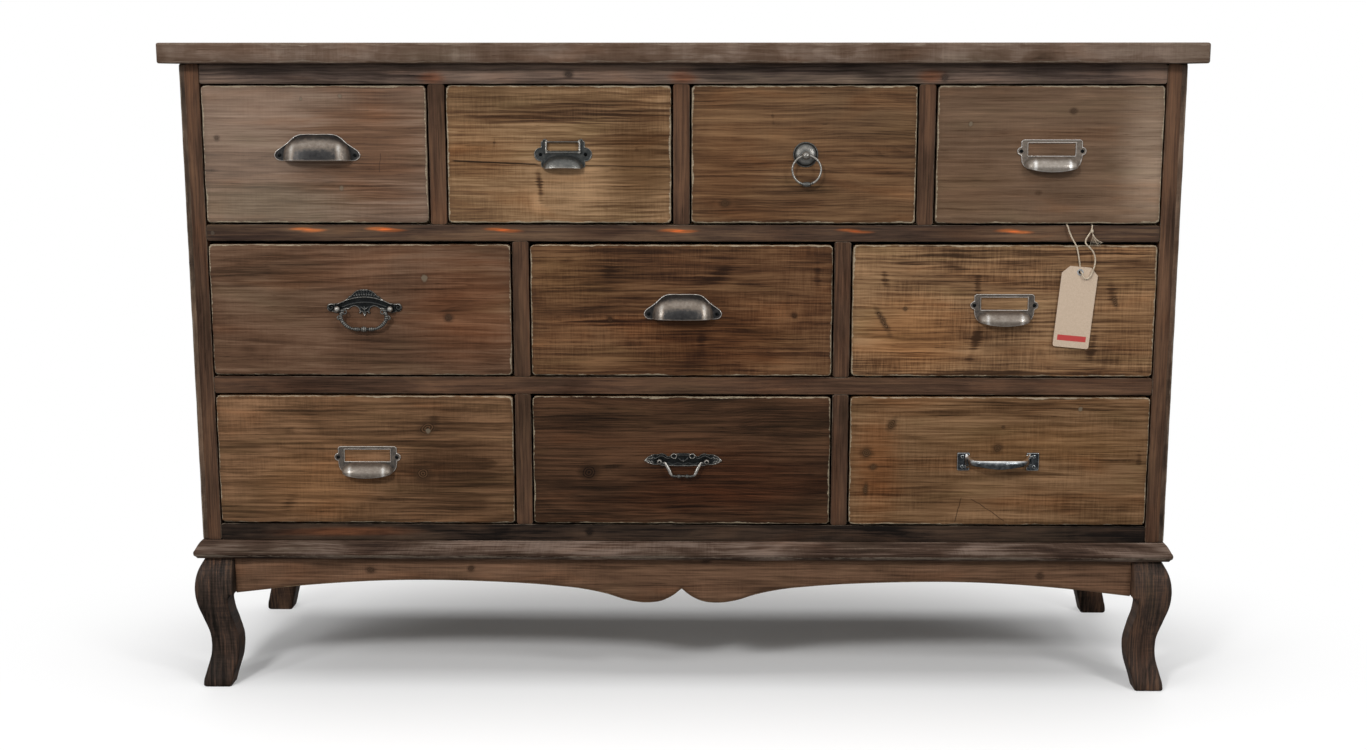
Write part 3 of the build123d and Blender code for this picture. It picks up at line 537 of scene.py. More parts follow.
def smooth_line(points, count):
    """A smooth curve through points: cubic runs whose slope at a point is that of its two neighbours."""
    points = np.asarray(points, float)
    gaps = np.maximum(np.linalg.norm(np.diff(points, axis=0), axis=1), 1e-9)
    at = np.concatenate([[0], np.cumsum(gaps)])
    slope = np.gradient(points, at, axis=0)
    t = np.linspace(0, at[-1], count)
    i = np.clip(np.searchsorted(at, t, side="right") - 1, 0, len(gaps) - 1)
    h = gaps[i][:, None]
    f = (t - at[i])[:, None] / h
    return ((1 + 2 * f) * (1 - f) ** 2 * points[i] + f * (1 - f) ** 2 * h * slope[i]
            + f ** 2 * (3 - 2 * f) * points[i + 1] + f ** 2 * (f - 1) * h * slope[i + 1])


moulding_wood = wood("moulding_wood", (0.026, 0.014, 0.009), (0.058, 0.035, 0.024), (0.135, 0.096, 0.075),
                     seed=61, rings=6.0, ring_share=0.12, blotch=0.3, worn=(0.24, 0.19, 0.145), worn_width=0.9,
                     gloss=0.48)
MOULDING_NOSE = [(8.9, -11.5), (10.2, -13.3), (10.5, -15.5), (10.0, -18.2), (8.1, -20.0)]
MOULDING_FACE = smooth_line([(0.8, 0.0), (3.4, -2.6), (6.4, -7.0), (8.9, -11.5)], 9)
MOULDING = np.concatenate([[(-58.0, 0.0), (-20.0, 0.0)], MOULDING_FACE, smooth_line(MOULDING_NOSE, 9)[1:],
                           [(6.5, -22.5), (-20.0, -22.5), (-58.0, -22.5)]])
NOSE_AWAY = np.interp(np.arange(len(MOULDING)), [0, 9, 15, 18, 22], [14, 9, 0.5, 0.2, 12])


def moulding_strip(side, start, stop, outwards, mitre, seed):
    """The moulding's section carried along one side of the base. An end is cut at 45 degrees where the next
    strip meets it (mitre 1), so every line of the section is as much longer as it lies further out."""
    start, stop, outwards = (np.array(value, float) for value in (start, stop, outwards))
    length = np.linalg.norm(stop - start)
    count, rows = int(length / 6), len(MOULDING)
    share = np.linspace(0, 1, count)
    out = MOULDING[:, 0][None, :] + 0.18 * wander(share * length, seed, 70.0)[:, None]
    line = share[:, None] * (length + out * sum(mitre)) - out * mitre[0]
    points = start + line[:, :, None] * (stop - start) / length + out[:, :, None] * outwards
    points[:, :, 2] += BASE_TOP + MOULDING[:, 1] - 0.1
    grain = np.stack([(share[:, None] * length + 0 * out).ravel() + seed * 97,
                      np.tile(np.arange(rows) * 2.0, count), out.ravel()], axis=1)
    return piece(f"moulding_{side}", placed(points.reshape(-1, 3)), tube_faces(count, rows), "carcase", SLOT,
                 moulding_wood, ["base_moulding"], grain=grain, edge=np.tile(NOSE_AWAY, count))


moulding_strip("front", (-HALF, 0, 0), (HALF, 0, 0), (0, -1, 0), (1, 1), 5)
moulding_strip("left", (-HALF, DEPTH, 0), (-HALF, 0, 0), (-1, 0, 0), (0, 1), 6)
moulding_strip("right", (HALF, 0, 0), (HALF, DEPTH, 0), (1, 0, 0), (1, 0), 7)
carcase_board("moulding_back", "base_moulding", (-HALF + 60, DEPTH - 60, BASE_BOTTOM),
              (HALF - 60, DEPTH, BASE_TOP), 1, 0, moulding_wood, face=1, seed=8)

leg_wood = wood("leg_wood", (0.018, 0.013, 0.01), (0.042, 0.028, 0.022), (0.095, 0.055, 0.036), seed=70,
                rings=5.0, ring_share=0.1, blotch=0.3, sawn=0.16, worn=(0.12, 0.07, 0.042), worn_width=1.6,
                gloss=0.42)
LEG_OUTER = [(-1.0, 168.5), (8.6, 150.0), (12.0, 130.0), (10.2, 110.0), (4.6, 90.0), (-1.8, 65.0),
             (-1.6, 42.0), (4.0, 20.0), (7.4, 6.0), (7.2, 1.2), (5.6, 0.0)]
LEG_INNER = [(-27.5, 0.0), (-30.6, 12.0), (-36.6, 34.0), (-38.2, 56.0), (-34.2, 80.0), (-29.6, 102.0),
             (-29.4, 114.0), (-33.6, 121.0)]
LEG_BLOCK, LEG_BLOCK_BOTTOM, LEG_SETBACK = -37.0, 122.0, 0.4


def leg(name, right, front, seed):
    """A square baulk sawn to one S outline from the front and from the side. At each height its section is a
    square from the inner to the outer line both ways, with worn round corners: |x|^p + |y|^p = 1."""
    heights = np.concatenate([[0, 0.8, 1.6, 3, 5], np.linspace(8, 119, 44), [121, 121.9, 122.1, 124],
                              np.linspace(128, 168.4, 16)])
    outer_line, inner_line = smooth_line(LEG_OUTER, 300)[::-1], smooth_line(LEG_INNER, 300)
    outer = np.interp(heights, outer_line[:, 1], outer_line[:, 0])
    inner = np.interp(heights, inner_line[:, 1], inner_line[:, 0])
    inner = np.where(heights > LEG_BLOCK_BOTTOM, LEG_BLOCK, inner)
    sides, power = 64, 14.0
    turn = np.linspace(0, 2 * math.pi, sides, endpoint=False) + math.pi / sides
    square = np.stack([np.cos(turn), np.sin(turn)], axis=1)
    square /= (np.abs(square) ** power).sum(1, keepdims=True) ** (1 / power)
    middle, half = (outer + inner) / 2, (outer - inner) / 2
    wear = 0.35 * wander(heights, seed, 60.0)
    a = middle[:, None] + square[:, 0] * (half - 0.3 + 0.2 * wear)[:, None]
    b = middle[:, None] + square[:, 1] * (half - 0.3 + 0.2 * wear)[:, None]
    x = (1 if right else -1) * (HALF + a)
    y = (LEG_SETBACK - b) if front else DEPTH - LEG_SETBACK + b
    z = np.repeat(heights[:, None], sides, axis=1)
    points = np.stack([x, y, z], axis=-1).reshape(-1, 3)
    corner = (1 - np.minimum(np.abs(square[:, 0]), np.abs(square[:, 1]))) * 20
    grain = np.stack([z.ravel() + seed * 211.0, a.ravel(), b.ravel() * 0.6 + seed], axis=1)
    return piece(name, placed(points), tube_faces(len(heights), sides), "carcase", "stained_leg_wood",
                 leg_wood, ["legs"], crease=50, grain=grain, edge=np.tile(corner, len(heights)))


for number in range(4):
    front, right = number < 2, number % 2 == 1
    leg(f"{'right' if right else 'left'}_{'front' if front else 'back'}_leg", right, front, 3 + number)

apron_wood = wood("apron_wood", (0.062, 0.033, 0.019), (0.115, 0.062, 0.036), (0.17, 0.094, 0.056), seed=80,
                  rings=7.0, ring_share=0.12, blotch=0.2, worn=(0.28, 0.2, 0.12), worn_width=0.7, grime=0.45,
                  knots=[(-391, 6, 3.4, 1.3), (-264, 9, 3.2), (30, 21, 3.5, 1.4), (448, 2, 3.6)], gloss=0.52)
LEG_INNER_X = HALF + LEG_BLOCK
APRON_EDGE = [(0.0, 128.0), (9.0, 120.5), (24.0, 112.6), (45.0, 109.8), (66.0, 112.4), (94.0, 121.0),
              (122.0, 127.0), (165.0, 131.8), (250.0, 136.6), (370.0, 137.2), (463.0, 131.4),
              (LEG_INNER_X - 0.3, 120.5)]
APRON, APRON_SETBACK = 18.0, 5.0


def sawn_apron():
    """The front apron: a section that goes up its face, over its top and down its back, with an eased lower
    edge, carried along x over the sawn lower line, which is drawn from the middle to one side."""
    half = smooth_line(APRON_EDGE, 220)
    x = np.concatenate([-half[:0:-1, 0], half[:, 0]])
    lower = np.concatenate([half[:0:-1, 1], half[:, 1]])
    section = np.array([(APRON, 0.6), (17.4, 0), (1.4, 0), (0.4, 0.5), (0, 1.5), (0, 7)])
    top = BASE_BOTTOM - 0.1
    rows = [(depth, lower + rise, edge) for (depth, rise), edge in zip(section, (9, 9, 0, 0, 0.6, 7))]
    rows += [(depth, 0 * x + top - drop, edge)
             for depth, drop, edge in ((0, 9, 9), (0, 1.2, 0.6), (1.2, 0, 0), (APRON, 0, 9))]
    lines = [np.stack([x, 0 * x + APRON_SETBACK + depth, z], axis=1) for depth, z, _ in rows]
    points = np.stack(lines, axis=1)
    flat = points.reshape(-1, 3)
    grain = np.stack([flat[:, 0], flat[:, 2] - 145, flat[:, 1]], axis=1)
    piece("sawn_apron", placed(flat), tube_faces(len(x), len(rows)), "carcase", SLOT, apron_wood,
          ["front_apron"], grain=grain, edge=np.tile([row[2] for row in rows], len(x)))


sawn_apron()

# Carried-over solids: finishes only.
pine_across = wood("drawer_side_pine", (0.36, 0.24, 0.13), (0.48, 0.34, 0.2), (0.6, 0.45, 0.29), seed=91,
                   rings=6.0, ring_share=0.14, blotch=0.1, sawn=0.06, worn_width=0.0, grime=0.0, gloss=0.6,
                   along=(0, 0, math.pi / 2))
sheet_wood = wood("back_sheet_wood", (0.22, 0.15, 0.09), (0.33, 0.24, 0.15), (0.42, 0.31, 0.2), seed=92,
                  rings=14, ring_share=0.2, sawn=0.0, worn_width=0.0, grime=0.0, gloss=0.6,
                  along=(0, math.pi / 2, 0))
plain_apron_wood = wood("plain_apron_wood", (0.03, 0.018, 0.012), (0.055, 0.034, 0.023), (0.09, 0.055, 0.035),
                        seed=93, worn_width=0.0, grime=0.0, along=(0, 0, 0))


def dress(node, material, bevel=0.0):
    """A carried-over solid gets its finish, and eased edges where they would show."""
    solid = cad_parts[node]
    solid.data.materials.clear()
    solid.data.materials.append(material)
    if bevel:
        solid.modifiers.new("weld", "WELD").merge_threshold = 1e-6
        edges = solid.modifiers.new("eased", "BEVEL")
        edges.width, edges.segments, edges.angle_limit = bevel * MM, 2, math.radians(40)


for node, material in (("bottom_board", sheet_wood), ("back_panel", sheet_wood),
                       ("runner_frames", pine_across), ("side_and_rear_aprons", plain_apron_wood)):
    dress(node, material)
for number in range(1, 11):
    dress(f"drawer_{number}_box", pine_across, bevel=0.8)

# ---- drawer fronts ----

CREAM = (0.42, 0.35, 0.25)
# Each drawer's wood: its tones, its ring field, and what the eye finds on it, in millimetres from its middle.
DRAWERS = {
    1: dict(stains=[(70, 10, 90, 90, (0.74, 0.6, 0.5)), (-60, -60, 120, 30, (0.85, 0.9, 0.85))],
            low=(0.115, 0.08, 0.06), mid=(0.172, 0.116, 0.083), high=(0.24, 0.168, 0.124), rings=4.0,
            ring_share=0.1, blotch=0.12, streak=0.12, fibre=0.1, sawn=0.06, worn_width=1.5,
            knots=[(-117, 19.6, 2.6)], fillers=[(30.7, -39.7, 2.4), (32.3, 69, 2.2), (-15.7, 65.6, 1.6)],
            smudges=[(-128.7, -19.5, 12, 4, 0.1, 0.3), (0, -36, 150, 14, 0, 0.16), (70, 0, 60, 60, 0, 0.22)],
            cracks=[(77.8, 2, 77.1, -21, 0.8, 0.5)]),
    2: dict(stains=[(-40, 60, 120, 22, (0.66, 0.64, 0.62)), (96, -10, 56, 66, (0.42, 0.37, 0.32)),
                    (-100, 0, 60, 30, (0.9, 0.82, 0.75))],
            low=(0.095, 0.05, 0.026), mid=(0.165, 0.095, 0.047), high=(0.27, 0.165, 0.088), rings=6.0,
            ring_share=0.14, blotch=0.13, streak=0.15, sawn=0.14, worn_width=1.6,
            smudges=[(10, 50, 115, 16, 0.03, 0.42), (-90, 12, 40, 7, 0.05, 0.2), (60, 20, 80, 9, 0.02, 0.25),
                     (-24.2, -34, 5.0, 24, 0.1, 0.9), (-77.6, 14, 2.0, 8, -0.2, 0.5), (93, 8, 4, 3, 0, 0.4)],
            lights=[(-27, -56, 11, 12, 0, 0.4), (20, 30, 110, 5, 0.03, 0.2), (10, -45, 150, 30, 0, 0.16)],
            cracks=[(-129, -7, -24.6, -10.7, 1.5, 1.0), (-24.6, -10.7, 136, -14.8, 1.1, 0.85)],
            chips=[(133, 10, 2.5, 50, 0.9), (132, -50, 2.5, 20, 0.8)]),
    3: dict(stains=[(-90, -20, 50, 60, (0.95, 0.86, 0.8)), (60, 50, 80, 30, (0.9, 0.95, 1.0))],
            low=(0.052, 0.027, 0.014), mid=(0.105, 0.055, 0.027), high=(0.16, 0.09, 0.045), rings=3.6,
            ring_share=0.16, blotch=0.14, streak=0.16, sawn=0.05, worn_width=1.4,
            knots=[(-94.3, -57.7, 3.8, 1.2)], lights=[(-94, -57, 16, 7, 0, 0.2), (0, 40, 140, 12, 0, 0.1)],
            smudges=[(-37, 46, 2, 8, 0.1, 0.3), (40, -20, 120, 20, 0, 0.12)],
            chips=[(131, -45, 4, 30, 1.0), (130, 20, 2, 30, 0.7)]),
    # drawer 4's first stain, a bluish lightening over its right end, is a painted sheen
    4: dict(stains=[(128, 0, 46, 90, (1.75, 2.0, 2.25)), (-100, -40, 60, 40, (0.95, 0.9, 0.85))],
            low=(0.078, 0.045, 0.026), mid=(0.113, 0.069, 0.043), high=(0.155, 0.096, 0.06), rings=7.5,
            ring_share=0.14, arch=(-27, -73.5, 0.08), blotch=0.13, streak=0.12, sawn=0.05, worn_width=1.4,
            knots=[(26.8, 52.3, 3.0)], fillers=[(-94.6, 36.5, 2.4)], chips=[(-29.2, 29.5, 2.4, 2.0, 0.6)],
            cracks=[(43.3, -2.2, 90.7, -2.2, 0.5, 0.3)], smudges=[(-11.5, -44.9, 5, 3, 0, 0.4)]),
    5: dict(stains=[(130, 0, 70, 70, (1.08, 0.88, 0.74)), (-110, 30, 80, 40, (0.9, 0.95, 0.95))],
            low=(0.058, 0.03, 0.017), mid=(0.1, 0.053, 0.031), high=(0.15, 0.088, 0.055), rings=8.5,
            ring_share=0.2, arch=(300, -2.8, 0.08), blotch=0.14, streak=0.13, sawn=0.08, worn_width=1.1,
            knots=[(107.5, -7.9, 4.4)], fillers=[(77.6, 38.2, 4.0)],
            smudges=[(-90, 50, 90, 20, 0.1, 0.22), (-140, -48, 14, 7, 0, 0.3), (160, -60, 30, 30, 0, 0.25),
                     (-55, 0, 40, 12, 0, 0.2), (110, 10, 30, 18, 0.3, 0.14)],
            lights=[(70, 55, 120, 18, 0, 0.2), (-120, -3, 50, 5, 0, 0.12)]),
    6: dict(stains=[(40, -30, 110, 45, (0.88, 0.76, 0.66)), (-120, 40, 70, 35, (1.0, 1.02, 0.95))],
            low=(0.04, 0.018, 0.009), mid=(0.084, 0.039, 0.018), high=(0.138, 0.071, 0.034), rings=6.5,
            ring_share=0.1, blotch=0.2, streak=0.19, fibre=0.16, sawn=0.2, worn_width=1.2,
            knots=[(-87.5, -11, 3.0), (137, -5.6, 3.0)],
            chips=[(162, -21.6, 4.5, 4, 0.6), (29.7, 19.6, 3, 3, 0.5)],
            smudges=[(-136, 62, 12, 6, 0.2, 0.4), (-86, 48, 12, 9, 0.2, 0.45), (48, 47, 18, 9, 0.4, 0.45),
                     (80, 33, 22, 4, 0, 0.4), (30, 35, 18, 4, 0, 0.3), (165, 41, 6, 20, 0, 0.4),
                     (25, -37, 7, 18, 0, 0.35), (-100, -13, 80, 2.5, 0.03, 0.5), (-110, -14, 40, 6, 0, 0.3),
                     (100, -45, 90, 8, 0, 0.3), (60, -24, 70, 5, 0, 0.3)],
            lights=[(125, 62, 60, 7, 0, 0.25), (-100, -62, 60, 10, 0.1, 0.2), (90, -68, 20, 5, 0, 0.25)]),
    7: dict(stains=[(150, -10, 40, 70, (0.9, 0.85, 0.8)), (-110, -30, 70, 50, (1.1, 0.95, 0.8))],
            low=(0.075, 0.038, 0.019), mid=(0.165, 0.091, 0.045), high=(0.26, 0.152, 0.078), rings=7.0,
            ring_share=0.12, blotch=0.14, streak=0.2, fibre=0.14, sawn=0.24, worn_width=1.3,
            knots=[(-146, -11, 2.6, 5.0, -1.05), (-119, 3.2, 2.2), (134, 12, 2.6, 2.4, -1.4)],
            smudges=[(-144, 40, 5, 16, 0.25, 0.5), (-31, 33, 5, 17, 0.05, 0.5), (-33, -38, 7, 24, -0.3, 0.6),
                     (130, 22, 6, 14, 0.1, 0.4), (109, -40, 6, 24, -0.15, 0.5), (-112, 60, 30, 4, -0.1, 0.4),
                     (-60, 54, 22, 4, -0.2, 0.35), (20, 56, 40, 4, 0, 0.35), (0, -76, 180, 5, 0, 0.5),
                     (-120, -55, 50, 5, 0.1, 0.35), (100, -62, 60, 4, 0, 0.3), (20, 70, 170, 8, 0, 0.25)],
            lights=[(0, 10, 170, 12, 0, 0.08)], chips=[(103, -58, 2, 4, 0.7)]),
    8: dict(stains=[(110, -10, 80, 70, (0.47, 0.44, 0.42)), (-60, -30, 80, 50, (1.08, 1.02, 0.9))],
            low=(0.06, 0.031, 0.015), mid=(0.113, 0.059, 0.029), high=(0.185, 0.1, 0.052), rings=6.5,
            ring_share=0.16, arch=(-29, -4.5, 0.1), blotch=0.18, streak=0.17, sawn=0.16, worn_width=1.0,
            knots=[(77, 40, 6.6, 1.4, 0.5), (70, -17, 6.2, 1.2)], fillers=[(78, 36, 3.0)],
            smudges=[(-105, 62, 50, 7, 0, 0.4), (-95, 36, 10, 5, 0, 0.35), (-97, -54, 8, 15, -0.9, 0.5),
                     (85, 50, 8, 10, 0.4, 0.4), (75, -4, 18, 8, 0, 0.2), (0, -50, 150, 6, 0, 0.25),
                     (70, 18, 60, 8, 0, 0.2), (-140, -30, 40, 20, 0, 0.15)],
            lights=[(77, -8, 14, 5, 0, 0.25), (30, 5, 60, 9, 0, 0.1)]),
    9: dict(stains=[(60, -30, 120, 40, (1.1, 0.86, 0.75))],
            low=(0.018, 0.009, 0.0045), mid=(0.04, 0.0192, 0.0098), high=(0.074, 0.036, 0.0185), rings=3.2,
            ring_share=0.14, blotch=0.17, streak=0.19, sawn=0.03, worn_width=1.3, worn=(0.40, 0.33, 0.23),
            knots=[(-114, -15, 8.0)], lights=[(0, 20, 130, 30, 0, 0.08)],
            smudges=[(-85, -8, 20, 5, 0.3, 0.3), (-120, 60, 70, 12, 0, 0.2), (0, -70, 180, 10, 0, 0.2)],
            chips=[(-114, -18, 6.0, 4.5, 0.7), (178, 55, 5, 22, 1.0), (180, 0, 3, 12, 0.7),
                   (179, -45, 4, 8, 0.9), (-176, 47, 4, 2, 0.7), (-181, -20, 2, 50, 0.7)]),
    10: dict(stains=[(-150, -10, 30, 70, (1.0, 0.8, 0.66)), (60, 20, 120, 25, (1.08, 1.04, 0.94))],
             low=(0.072, 0.036, 0.016), mid=(0.126, 0.067, 0.031), high=(0.19, 0.107, 0.054), rings=6.0,
             ring_share=0.15, blotch=0.15, streak=0.2, sawn=0.18, worn_width=1.2,
             knots=[(-131.6, 46.5, 4.0, 1.6, 0.9), (-162, 11, 5.2), (-154.6, -7.7, 3.4), (-1.6, 17, 4.4),
                    (4.5, 43, 1.6), (-162.6, -36, 2.4, 2.4, 1.5)], fillers=[(99, 66, 2.6)],
             smudges=[(0, 68, 180, 12, 0, 0.35), (-92, 31, 50, 1.8, 0, 0.5), (45, 28, 50, 2.0, 0, 0.4),
                      (143, 2, 36, 3.0, 0, 0.4), (-26, -18, 40, 2.0, 0, 0.4), (53, -16, 42, 3, 0, 0.3),
                      (172, 4, 4, 12, 0, 0.4), (160, -60, 25, 8, 0, 0.2)],
             cracks=[(-44, -46, -52, -78, 0.8, 0.7), (-32, -47, 10, -76, 0.8, 0.7)],
             lights=[(0, -68, 170, 6, 0, 0.2)], chips=[(-47, -19, 3.5, 2.5, 0.7)]),
}
GAP_SIDE, GAP_BELOW, GAP_ABOVE = 2.0, 2.2, (1.6, 3.6, 2.2)
FRONT = 20                       # a drawer front's thickness


def drawer_spans():
    """Each drawer's number, row, and the left and right limits of its opening."""
    number = 0
    for row, (_, _, count) in enumerate(ROWS):
        for place in range(count):
            number += 1
            left = -STILE_INNER + place * (opening_width(count) + DIVIDER)
            yield number, row, left, left + opening_width(count)


for number, row, left, right in drawer_spans():
    values = dict(worn=CREAM)
    values.update(DRAWERS[number])
    front_wood = wood(f"drawer_{number}_wood", seed=100 + 3 * number, **values)
    bottom, top, _ = ROWS[row]
    board(f"drawer_{number}_face", (left + GAP_SIDE, FACE_Y, bottom + GAP_BELOW),
          (right - GAP_SIDE, FACE_Y + FRONT, top - GAP_ABOVE[row]), 1, 0, f"drawer_{number}",
          f"drawer_{number}_wood", front_wood, ease=1.3, seed=number, wobble=0.3, corner=1.8, step=4.0,
          replaces=[f"drawer_{number}_front"], has_marks=True)

# ---- pulls ----

PULL_PLACES = {1: (-436.2, 676.1), 2: (-141.5, 668.0), 3: (149.6, 668.0), 4: (441.0, 666.2),
               5: (-385.5, 478.5), 6: (1.8, 485.3), 7: (390.8, 481.6), 8: (-388.0, 291.8),
               9: (2.1, 294.0), 10: (389.3, 294.6)}


def metal(name, dark, low, mid, light, bright, rough=0.3, lift=0.0, mottle=0.1, bare=1.0):
    """Cast or stamped metal, darkened in its hollows and rubbed bright where hands reach it.

    The piece's rub attribute, with mottling and fine pits, picks one of five tones from dark to bright. On
    some pulls that attribute also holds painted highlights and a painted reflection, besides rubbing.
    Rubbed places are smoother. Bare metal is 1; a patina leaves less of it."""
    finish = Finish(name)
    place = finish.place()
    mottling = finish.noise(place, (0.22, 0.22, 0.22), 4, 0.65)
    pits = finish.noise(place, (1.1, 1.1, 1.1), 3, 0.6)
    # the attribute is rubbing and, on some pulls, painted highlights and a painted reflection
    share = finish.attribute("rub", 2) + mottling * mottle + pits * 0.04 + lift
    colour = finish.ramp(share, [(0.0, dark), (0.2, low), (0.45, mid), (0.7, light), (1.0, bright)])
    normal = finish.bump(pits + mottling * 0.6, 0.3, 0.1)
    rough = rough + 0.1 - share * 0.16 + pits * 0.04
    return finish.surface(Base_Color=colour, Metallic=bare, Roughness=rough, Normal=normal)


# Tones of a metal: dark in its hollows, low, middle, light, and bright where it is rubbed or a highlight is
# painted.
BRONZE = [(0.009, 0.009, 0.010), (0.040, 0.038, 0.037), (0.19, 0.155, 0.125), (0.36, 0.325, 0.285),
          (0.82, 0.8, 0.77)]
GREY = [(0.008, 0.009, 0.009), (0.036, 0.040, 0.040), (0.125, 0.123, 0.115), (0.33, 0.31, 0.28),
        (0.78, 0.76, 0.72)]
IRON = [(0.006, 0.007, 0.007), (0.022, 0.024, 0.025), (0.085, 0.084, 0.078), (0.26, 0.245, 0.22),
        (0.7, 0.67, 0.62)]
NICKEL = [(0.012, 0.014, 0.017), (0.055, 0.063, 0.070), (0.22, 0.235, 0.24), (0.5, 0.51, 0.51),
          (0.92, 0.92, 0.9)]
pewter = metal("antique_pewter_finish", *BRONZE, bare=0.6)
light_pewter = metal("light_pewter_finish", *BRONZE, lift=0.1, bare=0.6)
grey_pewter = metal("grey_pewter_finish", *GREY, rough=0.24, bare=0.75)
dark_casting = metal("dark_casting_finish", *IRON, rough=0.26, bare=0.8)
polished = metal("polished_casting_finish", *NICKEL, rough=0.14, mottle=0.16)
screw_finish = metal("screw_finish", *IRON, rough=0.32)


def disc(x, y, centre_x, centre_y, radius):
    return np.hypot(x - centre_x, y - centre_y) - radius


def slab(x, y, centre_x, centre_y, width, height, corner=0.3):
    """Distance to a rectangle with round corners, below 0 inside it."""
    out_x = np.abs(x - centre_x) - width / 2 + corner
    out_y = np.abs(y - centre_y) - height / 2 + corner
    beyond = np.hypot(np.maximum(out_x, 0), np.maximum(out_y, 0))
    return beyond + np.minimum(np.maximum(out_x, out_y), 0) - corner


def line_distance(x, y, line):
    """Distance to a closed line, below 0 inside it: to the nearest of its runs, with a sign that turns over
    at each run that a ray to the right crosses."""
    nearest = np.full(x.shape, 1e9)
    inside = np.zeros(x.shape, bool)
    for (ax, ay), (bx, by) in zip(line, np.roll(line, -1, axis=0)):
        dx, dy = bx - ax, by - ay
        t = np.clip(((x - ax) * dx + (y - ay) * dy) / (dx * dx + dy * dy + 1e-12), 0, 1)
        nearest = np.minimum(nearest, np.hypot(x - ax - t * dx, y - ay - t * dy))
        crossing_x = ax + (y - ay) * dx / (dy if abs(dy) > 1e-9 else 1e-9)
        inside ^= ((ay > y) != (by > y)) & (x < crossing_x)
    return np.where(inside, -nearest, nearest)


def joined(first, second, fillet):
    """Two shapes as one, with a fillet in the angle between them."""
    share = np.clip(0.5 + 0.5 * (second - first) / fillet, 0, 1)
    return second * (1 - share) + first * share - fillet * share * (1 - share)


def hump(distance, width):
    return np.exp(-(distance / width) ** 2)


def step_up(value, low, high):
    t = np.clip((value - low) / (high - low), 0, 1)
    return t * t * (3 - 2 * t)


def mirrored(points):
    """A line drawn from the middle to the right, carried on from the left."""
    points = np.asarray(points, float)
    return np.concatenate([points[:0:-1] * (-1, 1), points])


def relief(box, shape, front, cell=0.5, rub=None, low=None, high=None, edge=0.45, back=-0.05):
    """A flat casting in low relief: points, faces and rub.

    A grid over the box; its points near the outline move along the shape's slope onto it, squares that
    are wholly inside stay, and a wall runs down from every free edge to the back. front gives the face's
    height from x, y and the depth inside the outline, and its last edge is rounded: e (1 - sqrt(1 - t^2)),
    t = 1 - depth / e. Without a rub function the rub is the height's share from low to high."""
    x_low, x_high, y_low, y_high = box
    columns, rows = int((x_high - x_low) / cell) + 1, int((y_high - y_low) / cell) + 1
    x, y = np.meshgrid(np.linspace(x_low, x_high, columns), np.linspace(y_low, y_high, rows))
    for _ in range(3):
        distance = shape(x, y)
        slope_x = (shape(x + 0.02, y) - shape(x - 0.02, y)) / 0.04
        slope_y = (shape(x, y + 0.02) - shape(x, y - 0.02)) / 0.04
        move = np.where((distance > -0.3 * cell) & (distance < 0.8 * cell), distance, 0)
        x, y = x - move * slope_x, y - move * slope_y
    distance = shape(x, y)
    inside = distance < 0.12 * cell
    whole = inside[:-1, :-1] & inside[1:, :-1] & inside[:-1, 1:] & inside[1:, 1:]
    quads = np.array(grid_faces(rows, columns))[whole.ravel()]
    depth = np.maximum(-distance, 0)
    height = front(x, y, depth)
    rubbed = rub(x, y, depth) if rub else np.clip((height - low) / (high - low), 0, 1)
    rounding = np.clip(1 - depth / edge, 0, 1)
    height = height - edge * (1 - np.sqrt(1 - rounding ** 2))
    count = x.size
    starts, ends = quads.ravel(), np.roll(quads, -1, axis=1).ravel()
    free = ~np.isin(starts * count + ends, ends * count + starts)
    starts, ends = starts[free], ends[free]
    walls = np.stack([ends, starts, starts + count, ends + count], axis=1)
    faces = np.concatenate([quads, walls, quads[:, ::-1] + count])
    points = np.concatenate([np.stack([x, y, height], axis=-1).reshape(-1, 3),
                             np.stack([x, y, 0 * x + back], axis=-1).reshape(-1, 3)])
    used, faces = np.unique(faces, return_inverse=True)
    rubbed = np.concatenate([rubbed.ravel(), 0.2 * rubbed.ravel()])
    return points[used], faces.reshape(-1, 4).tolist(), rubbed[used]


def rod(path, radii, rub, sides=14, closed=False):
    """A round rod along a path in a plane z = const: rings across it, each of its own radius."""
    path = np.asarray(path, float)
    if closed:
        tangent = np.roll(path, -1, axis=0) - np.roll(path, 1, axis=0)
    else:
        tangent = np.gradient(path, axis=0)
    tangent /= np.linalg.norm(tangent, axis=1, keepdims=True)
    across = np.cross((0, 0, 1.0), tangent)
    turn = np.linspace(0, 2 * math.pi, sides, endpoint=False)
    radii = np.broadcast_to(radii, len(path))[:, None, None]
    round_x, round_z = np.cos(turn)[None, :, None], np.sin(turn)[None, :, None]
    ring = round_x * across[:, None, :] + round_z * np.array((0, 0, 1.0))
    points = (path[:, None, :] + radii * ring).reshape(-1, 3)
    if closed:
        faces = grid_faces(len(path), sides, join_rows=True, join_columns=True)
    else:
        faces = tube_faces(len(path), sides)
    return points, faces, np.repeat(np.broadcast_to(rub, len(path)), sides)


def along(path):
    """Length along a path, from its first point."""
    return np.concatenate([[0], np.cumsum(np.linalg.norm(np.diff(path, axis=0), axis=1))])


def bulge(s, middle, half, radius):
    """Radius of a bead on a rod: half of an ellipse about its middle, and 0 past its ends."""
    return radius * np.sqrt(np.clip(1 - ((s - middle) / half) ** 2, 0, 1))


def turned(centre, profile, rub, sides=40):
    """A profile of (radius, height) turned about an axis out of the drawer. Its ends lie on the axis."""
    profile = np.asarray(profile, float)
    turn = np.linspace(0, 2 * math.pi, sides, endpoint=False)
    radius, height = profile[:, 0][:, None], profile[:, 1][:, None]
    x, y = centre[0] + radius * np.cos(turn), centre[1] + radius * np.sin(turn)
    points = np.stack([x, y, height + 0 * x], axis=-1).reshape(-1, 3)
    return points, tube_faces(len(profile), sides), np.repeat(np.broadcast_to(rub, len(profile)), sides)


